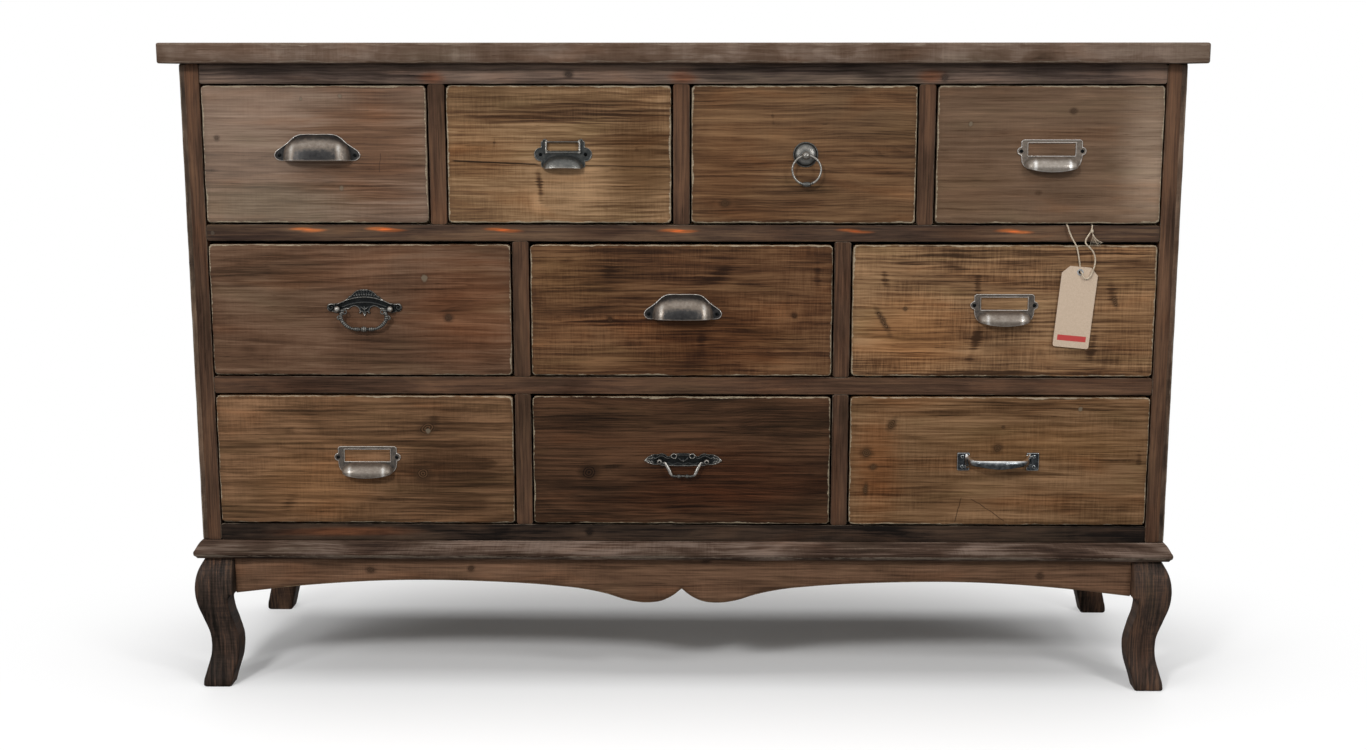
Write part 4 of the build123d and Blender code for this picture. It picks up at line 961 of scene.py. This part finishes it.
def ball(centre, radius, rub, dimple=0.0):
    """Ball that faces out of the drawer; a dimple sinks its front by a rounded cone."""
    angle = np.linspace(0.02, math.pi - 0.02, 22)
    reach, height = radius * np.sin(angle), centre[2] + radius * np.cos(angle)
    sunk = dimple * step_up(0.55 * radius - reach, 0, 0.2 * radius) * (angle < 1.5)
    return turned(centre[:2], np.stack([reach, height - sunk], axis=1), rub - 0.5 * sunk, 24)


def cup(middle, half, wall, lip, square, rub):
    """Half-dome cup, open below, with a rolled lip.

    At the share s of its half width its section is part of an ellipse, k = (1 - |s|^n)^(1/n) of the cup's
    height and reach, from the drawer's face over the top and down to the lip's height there. The inner
    skin is the same with every half axis less by the wall."""
    angle = np.radians(np.linspace(-88, 88, 97))
    s = np.sin(angle)
    k = (1 - np.abs(s) ** square) ** (1 / square)
    share = np.linspace(0, 1, 40)
    skins = []
    for inset in (0.0, wall):
        x, y_half, z_half = (half[0] - inset) * s, (half[1] - inset) * k, (half[2] - inset) * k
        last = np.arccos(np.clip((lip(x) - middle) / y_half, -0.95, 0.95))
        turn = share[None, :] * last[:, None]
        skins.append(np.stack([x[:, None] + 0 * turn, middle + y_half[:, None] * np.cos(turn),
                               z_half[:, None] * np.sin(turn)], axis=-1))
    outer, inner = skins
    edge = (outer[:, -1:] + inner[:, -1:]) / 2 - np.array((0, 0.5 * wall, 0))
    section = np.concatenate([outer, edge, inner[:, ::-1]], axis=1)
    grid = (len(s), len(share))
    tone = rub(np.broadcast_to(s[:, None], grid), np.broadcast_to(share, grid))
    tones = np.concatenate([tone, 0 * edge[:, :, 0] + 0.9, 0 * tone], axis=1)
    return section.reshape(-1, 3), tube_faces(*section.shape[:2]), tones.ravel()


def casting(number, what, parts, slot, material, replaced="pull", body=None):
    """One piece of a drawer's pull, from its solid parts. It replaces one of the drawer's nodes."""
    points, faces, rub = merged(parts)
    x0, z0 = PULL_PLACES[number]
    where = np.stack([x0 + points[:, 0], FACE_Y - points[:, 2], z0 + points[:, 1]], axis=1)
    return piece(f"drawer_{number}_{what}", placed(where), faces, body or f"drawer_{number}", slot, material,
                 [f"drawer_{number}_{replaced}"], sheet=True, crease=42.0, rub=rub)


def ball_post(x, y, z, foot, neck, radius, rub, dimple=0.0):
    """A tapered post on a backplate, from its foot to its neck, and a ball at its end."""
    post = turned((x, y), [(0.01, 1), (foot, 1), (neck + 0.1, 3), (neck, 6), (0.01, 6)], 0.1, 24)
    return [post, ball((x, y, z), radius, rub, dimple)]


def screw(x, y, seat, radius=2.5, turn=0.4, rub=None):
    """Domed screw head with a worn cross slot."""
    def front(px, py, depth):
        dx, dy = px - x, py - y
        across = np.abs(dx * math.cos(turn) + dy * math.sin(turn))
        down = np.abs(dy * math.cos(turn) - dx * math.sin(turn))
        slot = step_up(0.55 - np.minimum(across, down), 0, 0.25)
        slot *= step_up(1.7 - np.maximum(across, down), 0, 0.3)
        return seat + 0.35 + 0.95 * np.sqrt(np.clip(1 - (np.hypot(dx, dy) / radius) ** 2, 0, 1)) - 0.8 * slot
    box = (x - radius - 0.4, x + radius + 0.4, y - radius - 0.4, y + radius + 0.4)
    tone = (lambda px, py, depth: rub + 0.15 * step_up(0.6 - depth, 0, 0.4)) if rub is not None else None
    return relief(box, lambda px, py: disc(px, py, x, y, radius), front, 0.2, rub=tone, low=seat + 0.4,
                  high=seat + 1.5, edge=0.2, back=seat - 0.2)


def add_screws(number, places, seat, rub):
    parts = [screw(x, y, seat, 2.3, 0.4 + 0.9 * count + number, rub) for count, (x, y) in enumerate(places)]
    casting(number, "screws", parts, "screw_steel", screw_finish, "fixings")


def rimmed(thickness, rim=0.8, sunk=0.6):
    """Height of a stamped plate: a raised rim along every edge, and a sunk field inside it."""
    return lambda x, y, depth: thickness - sunk * step_up(depth, rim, rim + 0.6)


def rim_rub_and_highlight(field, rim, width=0.9):
    """Rub of a stamped plate: its own in the field, and another along every edge, which is partly rubbing and
    partly a painted highlight on the rounded edge.
    """
    # the brighter edge band is rubbing and, in part, a painted highlight
    return lambda x, y, depth: field + (rim - field) * step_up(width - depth, 0, 0.5)


def outlined(points, count=140):
    """Distance to a closed smooth line that is drawn from the middle to the right and mirrored."""
    line = smooth_line(mirrored(points), count)
    return lambda x, y: line_distance(x, y, line)


SHELL = [(0, 15.2), (13, 15.2), (19, 14.7), (23.6, 13.0), (27.6, 10.0), (31.4, 6.2), (36.4, 2.2),
         (41.4, -1.2), (45.6, -4.8), (47.3, -9.0), (45.6, -12.9), (41.6, -15.0), (36, -15.3), (18, -15.3),
         (0, -15.3)]


def shell_tone_and_painted_light(across, down):
    """Dim where the cup leaves its plate, bronze over its shoulder, darkest low in the middle as a painted
    reflection of dark surroundings, lighter out to both sides with a painted highlight down each side, and
    bright along the lip."""
    side = np.abs(across)
    tone = 0.13 + 0.12 * step_up(down, 0.1, 0.4) + 0.25 * hump(down - 0.55, 0.15) * (1 - side ** 3)
    # painted reflection: darkest low in the middle, and lighter out at the sides
    tone = tone - 0.17 * step_up(down, 0.64, 0.86) * hump(across, 0.52) + 0.1 * step_up(side, 0.74, 0.9)
    # painted highlight: a bright band down each side of the cup
    tone = tone + 0.42 * hump(side - 0.66 - 0.06 * down, 0.075) * step_up(down, 0.25, 0.7)
    return np.clip(tone + 0.22 * step_up(down, 0.975, 1.0), 0, 1)


def shell_cup(number, wide=1.0, tall=1.0):
    plate = relief((-48.5, 48.5, -16.5, 16.5), outlined(SHELL), rimmed(1.6), rub=rim_rub_and_highlight(0.1, 0.95))
    dome = cup(-14.4, (37.2, 28.4, 20.0), 1.5, lambda x: -13.8 + 0 * x, 2.75, shell_tone_and_painted_light)
    for points, _, _ in (plate, dome):
        points *= (wide, tall, 1)
    casting(number, "shell_cup", [plate, dome], "antique_pewter", pewter)
    add_screws(number, [(side * 41.6 * wide, -8.8 * tall) for side in (-1, 1)], 0.9, 0.12)


LABEL_WINDOW = (0, 8.0, 56.6, 15.2)


def label_outline(x, y):
    skirt = [(-36.3, 6.0), (36.3, 6.0), (36.2, -2.0), (35.4, -6.5), (33.8, -10.0), (31.4, -12.8),
             (-31.4, -12.8), (-33.8, -10.0), (-35.4, -6.5), (-36.2, -2.0)]
    whole = joined(slab(x, y, 0, 10.7, 72.7, 17.6, 3.6), line_distance(x, y, skirt), 0.8)
    for side in (-36.2, 36.2):
        whole = joined(whole, disc(x, y, side, 6.0, 4.7), 1.4)
    return np.maximum(whole, -slab(x, y, *LABEL_WINDOW, 0.6))


def label_tone_and_highlights(across, down):
    """Even brushed tone, a little darker at its upper edge, with a painted highlight as a bright band at each
    side.
    """
    side = np.abs(across)
    tone = 0.33 + 0.12 * step_up(down, 0.1, 0.5) + 0.07 * hump(down - 0.7, 0.25)
    # painted highlight: a bright band down each side
    tone = tone + 0.34 * hump(side - 0.66, 0.07) * step_up(down, 0.15, 0.6)
    return np.clip(tone + 0.12 * step_up(down, 0.96, 1.0), 0, 1)


def belly(x):
    """The lip's line: an arc that hangs lowest in the middle."""
    return -17.4 + 109.5 - np.sqrt(109.5 ** 2 - x ** 2)


def label_cup(number, material):
    frame_part = relief((-42, 42, -13.6, 20.4), label_outline, rimmed(1.9, 0.6, 0.5),
                        rub=rim_rub_and_highlight(0.3, 0.92, 0.8))
    dome = cup(-12.6, (31.4, 12.6, 17.0), 1.4, belly, 3.5, label_tone_and_highlights)
    casting(number, "label_cup", [frame_part, dome], "antique_pewter", material)
    add_screws(number, [(-36.2, 6.0), (36.2, 6.0)], 1.2, 0.1)


SMALL_FRAME, SMALL_WINDOW = (0, 9.3, 43.6, 16.4, 0.5), (0, 9.4, 37.4, 9.6, 0.3)


def small_outline(x, y):
    whole = slab(x, y, 0, 0, 52.4, 31.0, 1.5)
    for side in (-1, 1):
        whole = joined(whole, disc(x, y, side * 26.4, 0, 8.3), 0.8)
        whole = joined(whole, disc(x, y, side * 21.4, 15.4, 3.0), 0.8)
    return np.maximum(whole, -slab(x, y, *SMALL_WINDOW))


def small_frame(x, y):
    """How far inside the raised card frame a point lies."""
    return -np.maximum(slab(x, y, *SMALL_FRAME), -slab(x, y, *SMALL_WINDOW))


def small_front(x, y, depth):
    """A thin rimmed plate, and a raised card frame whose side posts stand highest."""
    raised = step_up(small_frame(x, y), -0.3, 0.35) * (2.6 + 0.6 * hump(np.abs(x) - 20.0, 1.3))
    return 1.6 - 0.5 * step_up(depth, 0.7, 1.3) + raised


def small_tone(x, y, depth):
    framed = step_up(small_frame(x, y), -0.1, 0.5)
    rim = 0.38 * step_up(0.9 - depth, 0, 0.6)
    return 0.25 + rim * (1 - framed) + framed * (0.2 + 0.34 * hump(np.abs(x) - 19.6, 0.8))


def small_label_cup(number):
    plate = relief((-36, 36, -16.2, 19.5), small_outline, small_front, 0.45, rub=small_tone)
    hood = cup(-17.0, (24.4, 16.2, 17.0), 1.4, lambda x: -15.0 - 1.6 * (x / 24.4) ** 2, 2.5,
               lambda across, down: 0.31 + 0.16 * step_up(down, 0.4, 1.0) + 0.2 * step_up(down, 0.95, 1.0))
    casting(number, "small_cup", [plate, hood], "antique_pewter", grey_pewter)
    add_screws(number, [(-27.0, 0.0), (27.0, 0.0)], 0.9, 0.05)


RING_RADIUS, RING_WIRE = 17.1, 1.25
RING_MIDDLE, ROSETTE_X, BOSS_Y = (-0.3, -17.8, 10.5), -1.3, -0.6


def ring_pull(number):
    reach = np.linspace(13.4, 0.01, 18)
    profile = [(0.01, -0.05), (15.0, -0.05), (15.0, 1.0), (14.7, 1.5), (14.1, 1.6), (13.7, 1.3)]
    profile += list(zip(reach, 1.0 + 6.0 * np.sqrt(1 - (reach / 13.7) ** 2)))
    # the dome's tone: a painted highlight ring about 8 mm out, and darker towards its foot
    domed = 0.38 + 0.16 * hump(reach - 8, 3) - 0.2 * step_up(reach, 11, 13)
    tone = np.concatenate([[0, 0, 0.2, 0.45, 0.45, 0.1], domed])
    boss = [(0.01, 2.0), (4.6, 2.0), (4.0, 6.5), (3.8, 8.6)]
    angle = np.linspace(2.25, 0.02, 16)
    boss += list(zip(4.9 * np.sin(angle), 12.0 + 4.9 * np.cos(angle)))
    parts = [turned((ROSETTE_X, 0), profile, tone, 64),
             turned((ROSETTE_X, BOSS_Y), boss, [0.1] * 4 + [0.6] * 16, 32)]
    casting(number, "rosette", parts, "dark_cast_metal", grey_pewter)
    turn = np.linspace(0, 2 * math.pi, 160, endpoint=False) - math.pi / 2
    path = np.array(RING_MIDDLE) + RING_RADIUS * np.stack([np.cos(turn), np.sin(turn), 0 * turn], axis=1)
    s = np.abs((turn + 1.5 * math.pi) % (2 * math.pi) - math.pi) * RING_RADIUS
    radii = np.maximum(RING_WIRE, np.maximum(bulge(s, 0, 5.9, 3.2), bulge(s, 7.6, 1.5, 1.9)))
    ring = rod(path, radii, 0.7 - 0.3 * (radii > RING_WIRE), closed=True)
    casting(number, "pull_ring", [ring], "dark_cast_metal", grey_pewter, "ring", "pull_ring")


ARCH_TOP = [(0, 27.2), (5, 27.0), (9, 25.6), (13.4, 22.6), (16.2, 19.6), (18.6, 18.4), (21.4, 15.8),
            (26, 12.9), (31, 10.9), (36, 9.9), (40.2, 9.8)]
ARCH_FOOT = [(0, -5.6), (1.9, -3.0), (2.6, -0.4), (4.6, -0.2), (6.2, 1.4), (6.6, 3.2), (9, 5.8), (12, 6.8),
             (15, 6.0), (18, 4.2), (21, 2.8), (24, 3.2), (27.4, 1.6), (30.5, -1.0), (34.6, -1.4), (39.6, 0.6)]
ARCH_LIFT = 2.0


def arch_outline(x, y):
    """Arched band with a crest, scrolled ends, and a scalloped lower edge with a leaf at its middle."""
    top, foot = smooth_line(ARCH_TOP, 40), smooth_line(ARCH_FOOT, 50)
    line = np.concatenate([mirrored(top), mirrored(foot)[::-1]])
    whole = line_distance(x, y, line)
    for side in (-40.7, 40.7):
        whole = joined(whole, disc(x, y, side, 5.2, 5.0), 0.6)
    return whole


def arch_front(x, y, depth):
    """A rim, two ridges along the arch, flutes and a row of beads in the crest, a spiral in each scroll, and
    a veined leaf below."""
    side, y = np.abs(x), y - ARCH_LIFT
    height = 1.2 + 0.9 * hump(depth - 0.5, 0.6)
    ridge = 15.8 - 0.0080 * x ** 2
    height += 1.0 * hump(y - ridge, 0.7) * step_up(35 - side, 0, 3)
    height += 0.6 * hump(y - (9.4 - 0.0080 * x ** 2), 0.55) * step_up(28 - side, 0, 2)
    crest = step_up(y - ridge, 1.2, 2.0)
    height += crest * 0.35 * (0.5 + 0.5 * np.cos(np.arctan2(x, y - 4.0) * 34))
    height += 0.6 * hump(y - (18.6 - 0.006 * x ** 2), 0.8) * (0.5 + 0.5 * np.cos(x * 2.0)) * (side < 13)
    scroll_x, scroll_y = side - 40.7, y - 3.2
    reach, turn = np.hypot(scroll_x, scroll_y), np.arctan2(scroll_y, scroll_x)
    height += 0.6 * np.cos(reach * 2.0 - turn) * step_up(5.0 - reach, 0, 0.8)
    vein = np.minimum(side / 0.7, np.abs(side * 0.75 - (y - 0.4)) / 0.8)
    height += 0.8 * np.exp(-vein ** 2) * step_up(5.0 - y, 0, 2) * (side < 6)
    wave = hump(y - 1.6 + 0.9 * np.cos(side * 0.75), 0.6)
    height += 0.7 * wave * step_up(side, 12, 14) * (side < 27)
    return height


def arched_pull(number):
    posts, pivot_y, pivot_z = 32.2, 2.0, 8.5
    parts = [relief((-46.6, 46.6, -6.6, 28.0), arch_outline, arch_front, 0.36, low=1.15, high=2.7)]
    for side in (-1, 1):
        parts += ball_post(side * posts, pivot_y + ARCH_LIFT, pivot_z, 3.3, 2.6, 3.5, 0.78)
        parts.append(ball((side * 5.4, ARCH_LIFT - 3.0, 1.6), 1.5, 0.45))
        parts.append(ball((side * 17.6, ARCH_LIFT + 16.0, 1.8), 1.4, 0.45))
    casting(number, "arched_backplate", parts, "dark_cast_metal", dark_casting)
    half = [(0, -20.6), (8, -20.6), (14.5, -19.9), (20.0, -17.4), (24.4, -13.4), (27.4, -8.4), (27.6, -3.4),
            (26.0, 0.0), (25.6, pivot_y)]
    path = smooth_line(mirrored(half), 200)
    path = np.concatenate([path, np.full((200, 1), pivot_z)], axis=1)
    s = along(path) - along(path)[-1] / 2
    side = np.abs(s)
    radii = 1.7 + 0.6 * step_up(side, 12, 24)
    beads = [(0, 4.6, 3.6), (9.0, 5.6, 2.5), (4.9, 0.9, 2.4), (33.5, 2.6, 2.9), (39.5, 2.4, 2.6)]
    for middle, length, radius in beads:
        radii = np.maximum(radii, bulge(side, middle, length, radius))
    tone = np.clip(0.42 + 0.07 * (radii - 1.7) + 0.14 * np.cos(s * 2.6), 0, 0.9)
    flutes = 1 + 0.07 * np.cos(s * 2.6)
    bail = [rod(path, radii * flutes, tone)]
    for side in (-1, 1):
        curl = np.linspace(0.4, 5.6, 30)
        ring = np.stack([side * (23.2 + 2.4 * np.cos(curl)), 0.6 + 2.4 * np.sin(curl),
                         0 * curl + pivot_z + 0.4], axis=1)
        bail.append(rod(ring, 0.9, 0.5, 10))
        leaf = [(27.6, -4.0), (31.0, -4.8), (32.0, -7.4), (28.4, -9.0)]
        leaf = smooth_line([(side * x, y) for x, y in leaf], 16)
        bail.append(rod(np.concatenate([leaf, np.full((16, 1), pivot_z)], axis=1), 1.0, 0.5, 10))
        pin = np.array([(side * 25.0, pivot_y, pivot_z), (side * 34.0, pivot_y, pivot_z)])
        bail.append(rod(pin, 1.2, 0.3, 12))
        bail.append(ball((side * 25.6, pivot_y, pivot_z), 2.5, 0.42))
    casting(number, "hanging_bail", bail, "dark_cast_metal", dark_casting, "bail", "arched_bail")


LEAF_TOP = [(0, 10.0), (6.4, 9.8), (9.0, 9.2), (11.2, 10.0), (14.4, 8.7), (16.6, 6.2), (19.2, 6.2),
            (22.4, 8.6), (27.4, 9.5), (31, 8.4), (35, 8.6), (39.6, 7.4), (43.4, 5.2), (46, 3.0), (48.2, 0.8)]
LEAF_FOOT = [(0, -6.4), (8.6, -6.5), (15, -6.0), (19.6, -6.4), (26, -6.0), (31.6, -4.8), (36, -4.8),
             (40.4, -3.4), (44.4, -2.0), (48.2, 0.6)]
LEAF_LIFT = 1.5


def leaf_outline(x, y):
    line = np.concatenate([mirrored(smooth_line(LEAF_TOP, 50)), mirrored(smooth_line(LEAF_FOOT, 40))[::-1]])
    return line_distance(x, y, line)


def leaf_front(x, y, depth):
    """A wavy rim, two rings at its upper edge, a leaf in the middle, and veined leaves at the ends."""
    side, y = np.abs(x) / 1.09, y - LEAF_LIFT
    height = 1.0 + 0.9 * hump(depth - 0.5, 0.6)
    height += 1.1 * hump(np.hypot(side - 10.3, y - 4.6) - 2.9, 0.65)
    wave = 4.8 + 1.6 * np.cos((side - 24.5) * 0.42)
    height += 0.7 * hump(y - wave + 1.6, 0.5) * step_up(side, 13, 15) * (side < 33)
    height += 0.6 * hump(y - 5.9, 0.5) * (side < 7.4)
    vein = np.abs(np.abs(y + 0.4) - 0.55 * (44 - side) * 0.5) / 0.6
    height += 0.6 * np.exp(-vein ** 2) * step_up(side, 31, 34)
    height += 0.5 * (0.5 + 0.5 * np.cos(side * 2.4 + np.abs(y) * 1.6)) * step_up(side, 32, 35)
    motif = np.abs(y + 1.6 - 0.11 * x ** 2)
    height += 0.6 * hump(motif, 0.6) * (side < 5.4) + 0.5 * hump(side, 0.5) * hump(y + 1.0, 2.6)
    height += 0.4 * hump(y + 5.0 + 0.8 * np.cos(side * 0.55), 0.5) * (side < 24)
    return height


def leaf_pull(number):
    posts, pivot_y, pivot_z = 29.0, -1.2, 8.0
    parts = [relief((-49, 49, -7.4, 11), leaf_outline, leaf_front, 0.36, low=0.95, high=2.4)]
    for side in (-1, 1):
        parts += ball_post(side * posts, pivot_y + LEAF_LIFT, pivot_z, 3.2, 2.5, 3.3, 0.8, 1.6)
    casting(number, "leaf_backplate", parts, "dark_cast_metal", dark_casting)
    half = [(0, -17.6), (11.0, -17.6), (13.4, -17.0), (14.8, -15.4), (16.8, -10.8), (20.6, -3.6),
            (22.4, -0.8), (24.0, pivot_y)]
    path = smooth_line(mirrored(half), 180)
    path = np.concatenate([path, np.full((180, 1), pivot_z)], axis=1)
    s = along(path) - along(path)[-1] / 2
    side = np.abs(s)
    radii = 1.25 + 0.75 * bulge(side, 22, 9, 1.0)
    for middle, length, radius in ((5.0, 2.8, 2.6), (0.0, 0.7, 1.6), (10.6, 1.5, 1.8)):
        radii = np.maximum(radii, bulge(side, middle, length, radius))
    bail = [rod(path, radii, 0.45 + 0.35 * step_up(side, 12, 17))]
    for side in (-1, 1):
        pin = np.array([(side * 23.6, pivot_y, pivot_z), (side * 31.0, pivot_y, pivot_z)])
        bail.append(rod(pin, 1.2, 0.3, 12))
        bail.append(ball((side * 23.6, pivot_y, pivot_z), 1.75, 0.5))
    casting(number, "hanging_bail", bail, "dark_cast_metal", dark_casting, "bail", "leaf_bail")


GRIP = [(-38.6, 1.6, 9.8, 3.0), (-36.5, 4.6, 8.0, 3.1), (-33.8, 10.0, 5.6, 3.3), (-25.0, 18.6, 4.5, 3.2),
        (-12.0, 22.4, 5.4, 3.4), (0.0, 23.4, 5.9, 3.6)]


def cast_handle(number):
    """Two end plates, and a grip carried over stations of x, z and its half sizes. Its section is an ellipse
    across its own line. Its middle sinks as it swells, so its upper edge runs nearly straight."""
    stations = smooth_line(GRIP + [(-x, z, a, b) for x, z, a, b in GRIP[-2::-1]], 120)
    x, z, half_y, half_z = stations.T
    slope = np.stack([np.gradient(x), np.gradient(z)], axis=1)
    slope /= np.linalg.norm(slope, axis=1, keepdims=True)
    middle_y = 0.6 - 0.5 * (half_y - 4.5) * step_up(34 - np.abs(x), 0, 6)
    turn = np.linspace(0, 2 * math.pi, 32, endpoint=False)
    away = half_z[:, None] * np.sin(turn)
    points = np.stack([x[:, None] - slope[:, 1:] * away, middle_y[:, None] + half_y[:, None] * np.cos(turn),
                       z[:, None] + slope[:, :1] * away], axis=-1)
    # painted highlight along the top of the grip, and a lighter underside
    upper = 0.68 * step_up(np.cos(turn), 0.4, 0.8) + 0.14 * step_up(-np.cos(turn), 0.5, 0.9)
    tone = 0.27 + upper[None, :] + 0.25 * step_up(np.abs(x), 26, 32)[:, None]
    parts = [(points.reshape(-1, 3), tube_faces(*points.shape[:2]), tone.ravel())]
    for side in (-42.6, 42.6):
        box = (side - 8, side + 8, -11.6, 11.6)
        shape = lambda px, py, middle=side: slab(px, py, middle, 0, 15.0, 22.0, 1.2)
        parts.append(relief(box, shape, rimmed(2.4, 0.9, 0.9), 0.36, rub=rim_rub_and_highlight(0.2, 0.62, 1.0)))
    casting(number, "cast_handle", parts, "polished_cast_metal", polished)
    places = [(side * 44.0, y) for side in (-1, 1) for y in (-6.3, 6.3)]
    heads = [screw(px, py, 1.4, turn=0.5 + px * 0.02 + py * 0.1) for px, py in places]
    casting(number, "screws", heads, "screw_steel", polished, "fixings")


shell_cup(1, 1.09, 1.04)
shell_cup(6)
small_label_cup(2)
ring_pull(3)
label_cup(4, light_pewter)
label_cup(7, pewter)
label_cup(8, pewter)
arched_pull(5)
leaf_pull(9)
cast_handle(10)


def stud_metal():
    """Plain bright steel of the studs and nuts behind the cast plates."""
    finish = Finish("stud_metal")
    stain = finish.noise(finish.place(), (0.5, 0.5, 0.5), 3)
    return finish.surface(Base_Color=finish.mix(stain.rise(-0.8, 0.8), (0.3, 0.29, 0.27), (0.55, 0.54, 0.52)),
                          Metallic=1.0, Roughness=0.35 + stain * 0.08)


stud_finish = stud_metal()
for number in (3, 5, 9):
    dress(f"drawer_{number}_fixings", stud_finish)

# ---- hang tag ----


def jute():
    """Twisted jute: fibres wound round the twine, pale on their crests."""
    finish = Finish("jute_twine")
    place = finish.place()
    hair = finish.noise(place, (2.2, 2.2, 0.7), 4, 0.7)
    colour = finish.mix(hair.rise(-0.6, 0.3), (0.32, 0.24, 0.16), (0.66, 0.56, 0.43))
    return finish.surface(Base_Color=colour, Roughness=0.85, Normal=finish.bump(hair, 0.8, 0.4))


CARD_MIDDLE, CARD_LEAN = (476.3, 0.0, 485.6), math.radians(5.2)
BAND_MIDDLE, BAND_HALF = -37.9, (17.4, 3.4)


def kraft():
    """Flecked kraft card with one plain red band across its lower end."""
    soft = 0.2
    finish = Finish("kraft_card")
    place = finish.place()
    fleck = finish.noise(place, (1.6, 1.6, 1.6), 4, 0.7)
    colour = finish.mix(fleck.rise(-0.4, 0.6), (0.45, 0.345, 0.255), (0.57, 0.45, 0.34))
    beside, _, below = finish.axes(finish.turned_frame(place, CARD_MIDDLE, (0, CARD_LEAN, 0)))
    beside = abs(beside).rise(BAND_HALF[0] + soft, BAND_HALF[0] - soft)
    below = abs(below - BAND_MIDDLE).rise(BAND_HALF[1] + soft, BAND_HALF[1] - soft)
    colour = finish.mix(beside * below, colour, (0.42, 0.05, 0.045))
    return finish.surface(Base_Color=colour, Roughness=0.8, Normal=finish.bump(fleck, 0.2, 0.1))


jute_finish = jute()
twine.data.materials.append(jute_finish)
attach(twine, "drawer_7")
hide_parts("hang_tag_twine")
dress("hang_tag_card", kraft())
dress("hang_tag_eyelet", metal("eyelet_finish", *NICKEL, lift=0.75))
KNOT, TUFT_END = np.array((492.2, -6.6, 577.5)), np.array((496.8, -8.2, 559.0))


def frayed_end():
    """The twine's frayed end below its knot: a ball of twine, and thin strands that leave it together, each
    fanned out by its own angle, wavy, and tapered to its tip."""
    random = np.random.default_rng(7)
    t = np.linspace(0, 1, 14)[:, None]
    down = TUFT_END - KNOT
    knot, faces, _ = turned((0, 0), [(0.01, -2.3), (1.5, -1.8), (2.2, 0), (1.5, 1.8), (0.01, 2.3)], 0, 16)
    parts = [(knot + KNOT, faces, 0)]
    for strand in range(22):
        fan, out = random.uniform(-0.42, 0.5), random.uniform(-0.1, 0.12)
        length, phase = random.uniform(0.72, 1.12), random.uniform(0, 6.3)
        side = np.array((math.cos(fan) * down[0] - math.sin(fan) * down[2], down[1],
                         math.sin(fan) * down[0] + math.cos(fan) * down[2]))
        path = KNOT + (down * (1 - t) + side * t) * t * length
        path += np.array((0.5, 0, 0.2)) * np.sin(7 * t + phase) * t + (0, -18 * out, 0) * t
        parts.append(rod(path, 0.5 - 0.3 * t[:, 0], 0, 6))
    points, faces, _ = merged(parts)
    return piece("hang_tag_frayed_end", placed(points), faces, "drawer_7", "jute_twine", jute_finish,
                 ["hang_tag_tuft"], sheet=True)


frayed = frayed_end()

# ---- floor and light ----


FLOOR_THROWN, FLOOR_SEEN = 0.28, 0.92
FLOOR_HALF, WHITENS, FLOOR_REACH = (2.0, 1.5), (0.2, 0.52), 14.0
WORLD_LEVEL = 0.22


def floor_finish():
    """Pale floor that keeps the chest's shadow and turns to plain white further out. It throws back less
    light than it shows, so that shadows stay on the drawers."""
    finish = Finish("studio_floor")
    away = finish.away(finish.add("TexCoord", output=3), (0.0, -0.1), FLOOR_HALF)
    seen = finish.add("LightPath")
    tone = finish.mix(seen, (FLOOR_THROWN,) * 3, (FLOOR_SEEN,) * 3)
    sockets = {"Base Color": tone, "Roughness": 0.9, "Specular IOR Level": 0.0}
    lit = finish.add("BsdfPrincipled", None, sockets)
    white = finish.add("Emission", None, {"Color": (1, 1, 1), "Strength": 1.0})
    both = finish.add("MixShader", None, {0: away.rise(*WHITENS) * seen, 1: lit, 2: white})
    finish.add("OutputMaterial", None, {"Surface": both})
    return finish.material


def studio_floor():
    mesh = bpy.data.meshes.new("studio_floor")
    corners = [(x * FLOOR_REACH, y * FLOOR_REACH, 0) for x, y in ((-1, -1), (1, -1), (1, 1), (-1, 1))]
    mesh.from_pydata(corners, [], [(0, 1, 2, 3)])
    mesh.materials.append(floor_finish())
    floor = bpy.data.objects.new("studio_floor", mesh)
    bpy.context.collection.objects.link(floor)


def lamp(name, place, aim, size, power, in_gloss):
    """An area lamp at a place, turned towards its aim; gloss shows it or not."""
    light = bpy.data.lights.new(name, "AREA")
    light.shape, light.size, light.size_y, light.energy = "RECTANGLE", *size, power
    made = bpy.data.objects.new(name, light)
    bpy.context.collection.objects.link(made)
    made.visible_glossy = in_gloss
    made.location = place
    direction = np.array(aim, float) - place
    flat = math.hypot(direction[0], direction[1])
    made.rotation_euler = (math.pi / 2 + math.atan2(direction[2], flat), 0,
                           math.atan2(direction[1], direction[0]) - math.pi / 2)


def studio():
    """White all round for the camera, for gloss and through glass; a plain level on the chest."""
    sky = Finish("studio", bpy.data.worlds)
    bpy.context.scene.world = sky.material
    seen = sky.add("LightPath", output="Is Camera Ray")
    for ray in ("Is Glossy Ray", "Is Transmission Ray"):
        seen = seen.most(sky.add("LightPath", output=ray))
    level = sky.add("MapRange", None, {"Value": seen, "To Min": WORLD_LEVEL, "To Max": 1.0})
    shade = sky.add("Background", None, {"Color": (1, 1, 1), "Strength": level})
    sky.add("OutputWorld", None, {"Surface": shade})


studio_floor()
studio()
FACE_MIDDLE = (0, -0.2, 0.45)
lamp("overhead", (0, 0.1, 3.0), (0, 0.1, 0), (3.4, 2.6), 82, False)
lamp("key", (-1.2, -3.0, 2.2), FACE_MIDDLE, (0.45, 0.45), 58, False)
lamp("right_key", (1.3, -1.9, 1.9), (0.5, -0.2, 0.45), (0.35, 0.35), 12, False)
for side, name in ((-1, "left_strip"), (1, "right_strip")):
    lamp(name, (side * 1.7, -2.0, 1.2), (0, -0.2, 0.5), (0.3, 1.0), 9, True)

bpy.context.scene.view_settings.view_transform = "Standard"
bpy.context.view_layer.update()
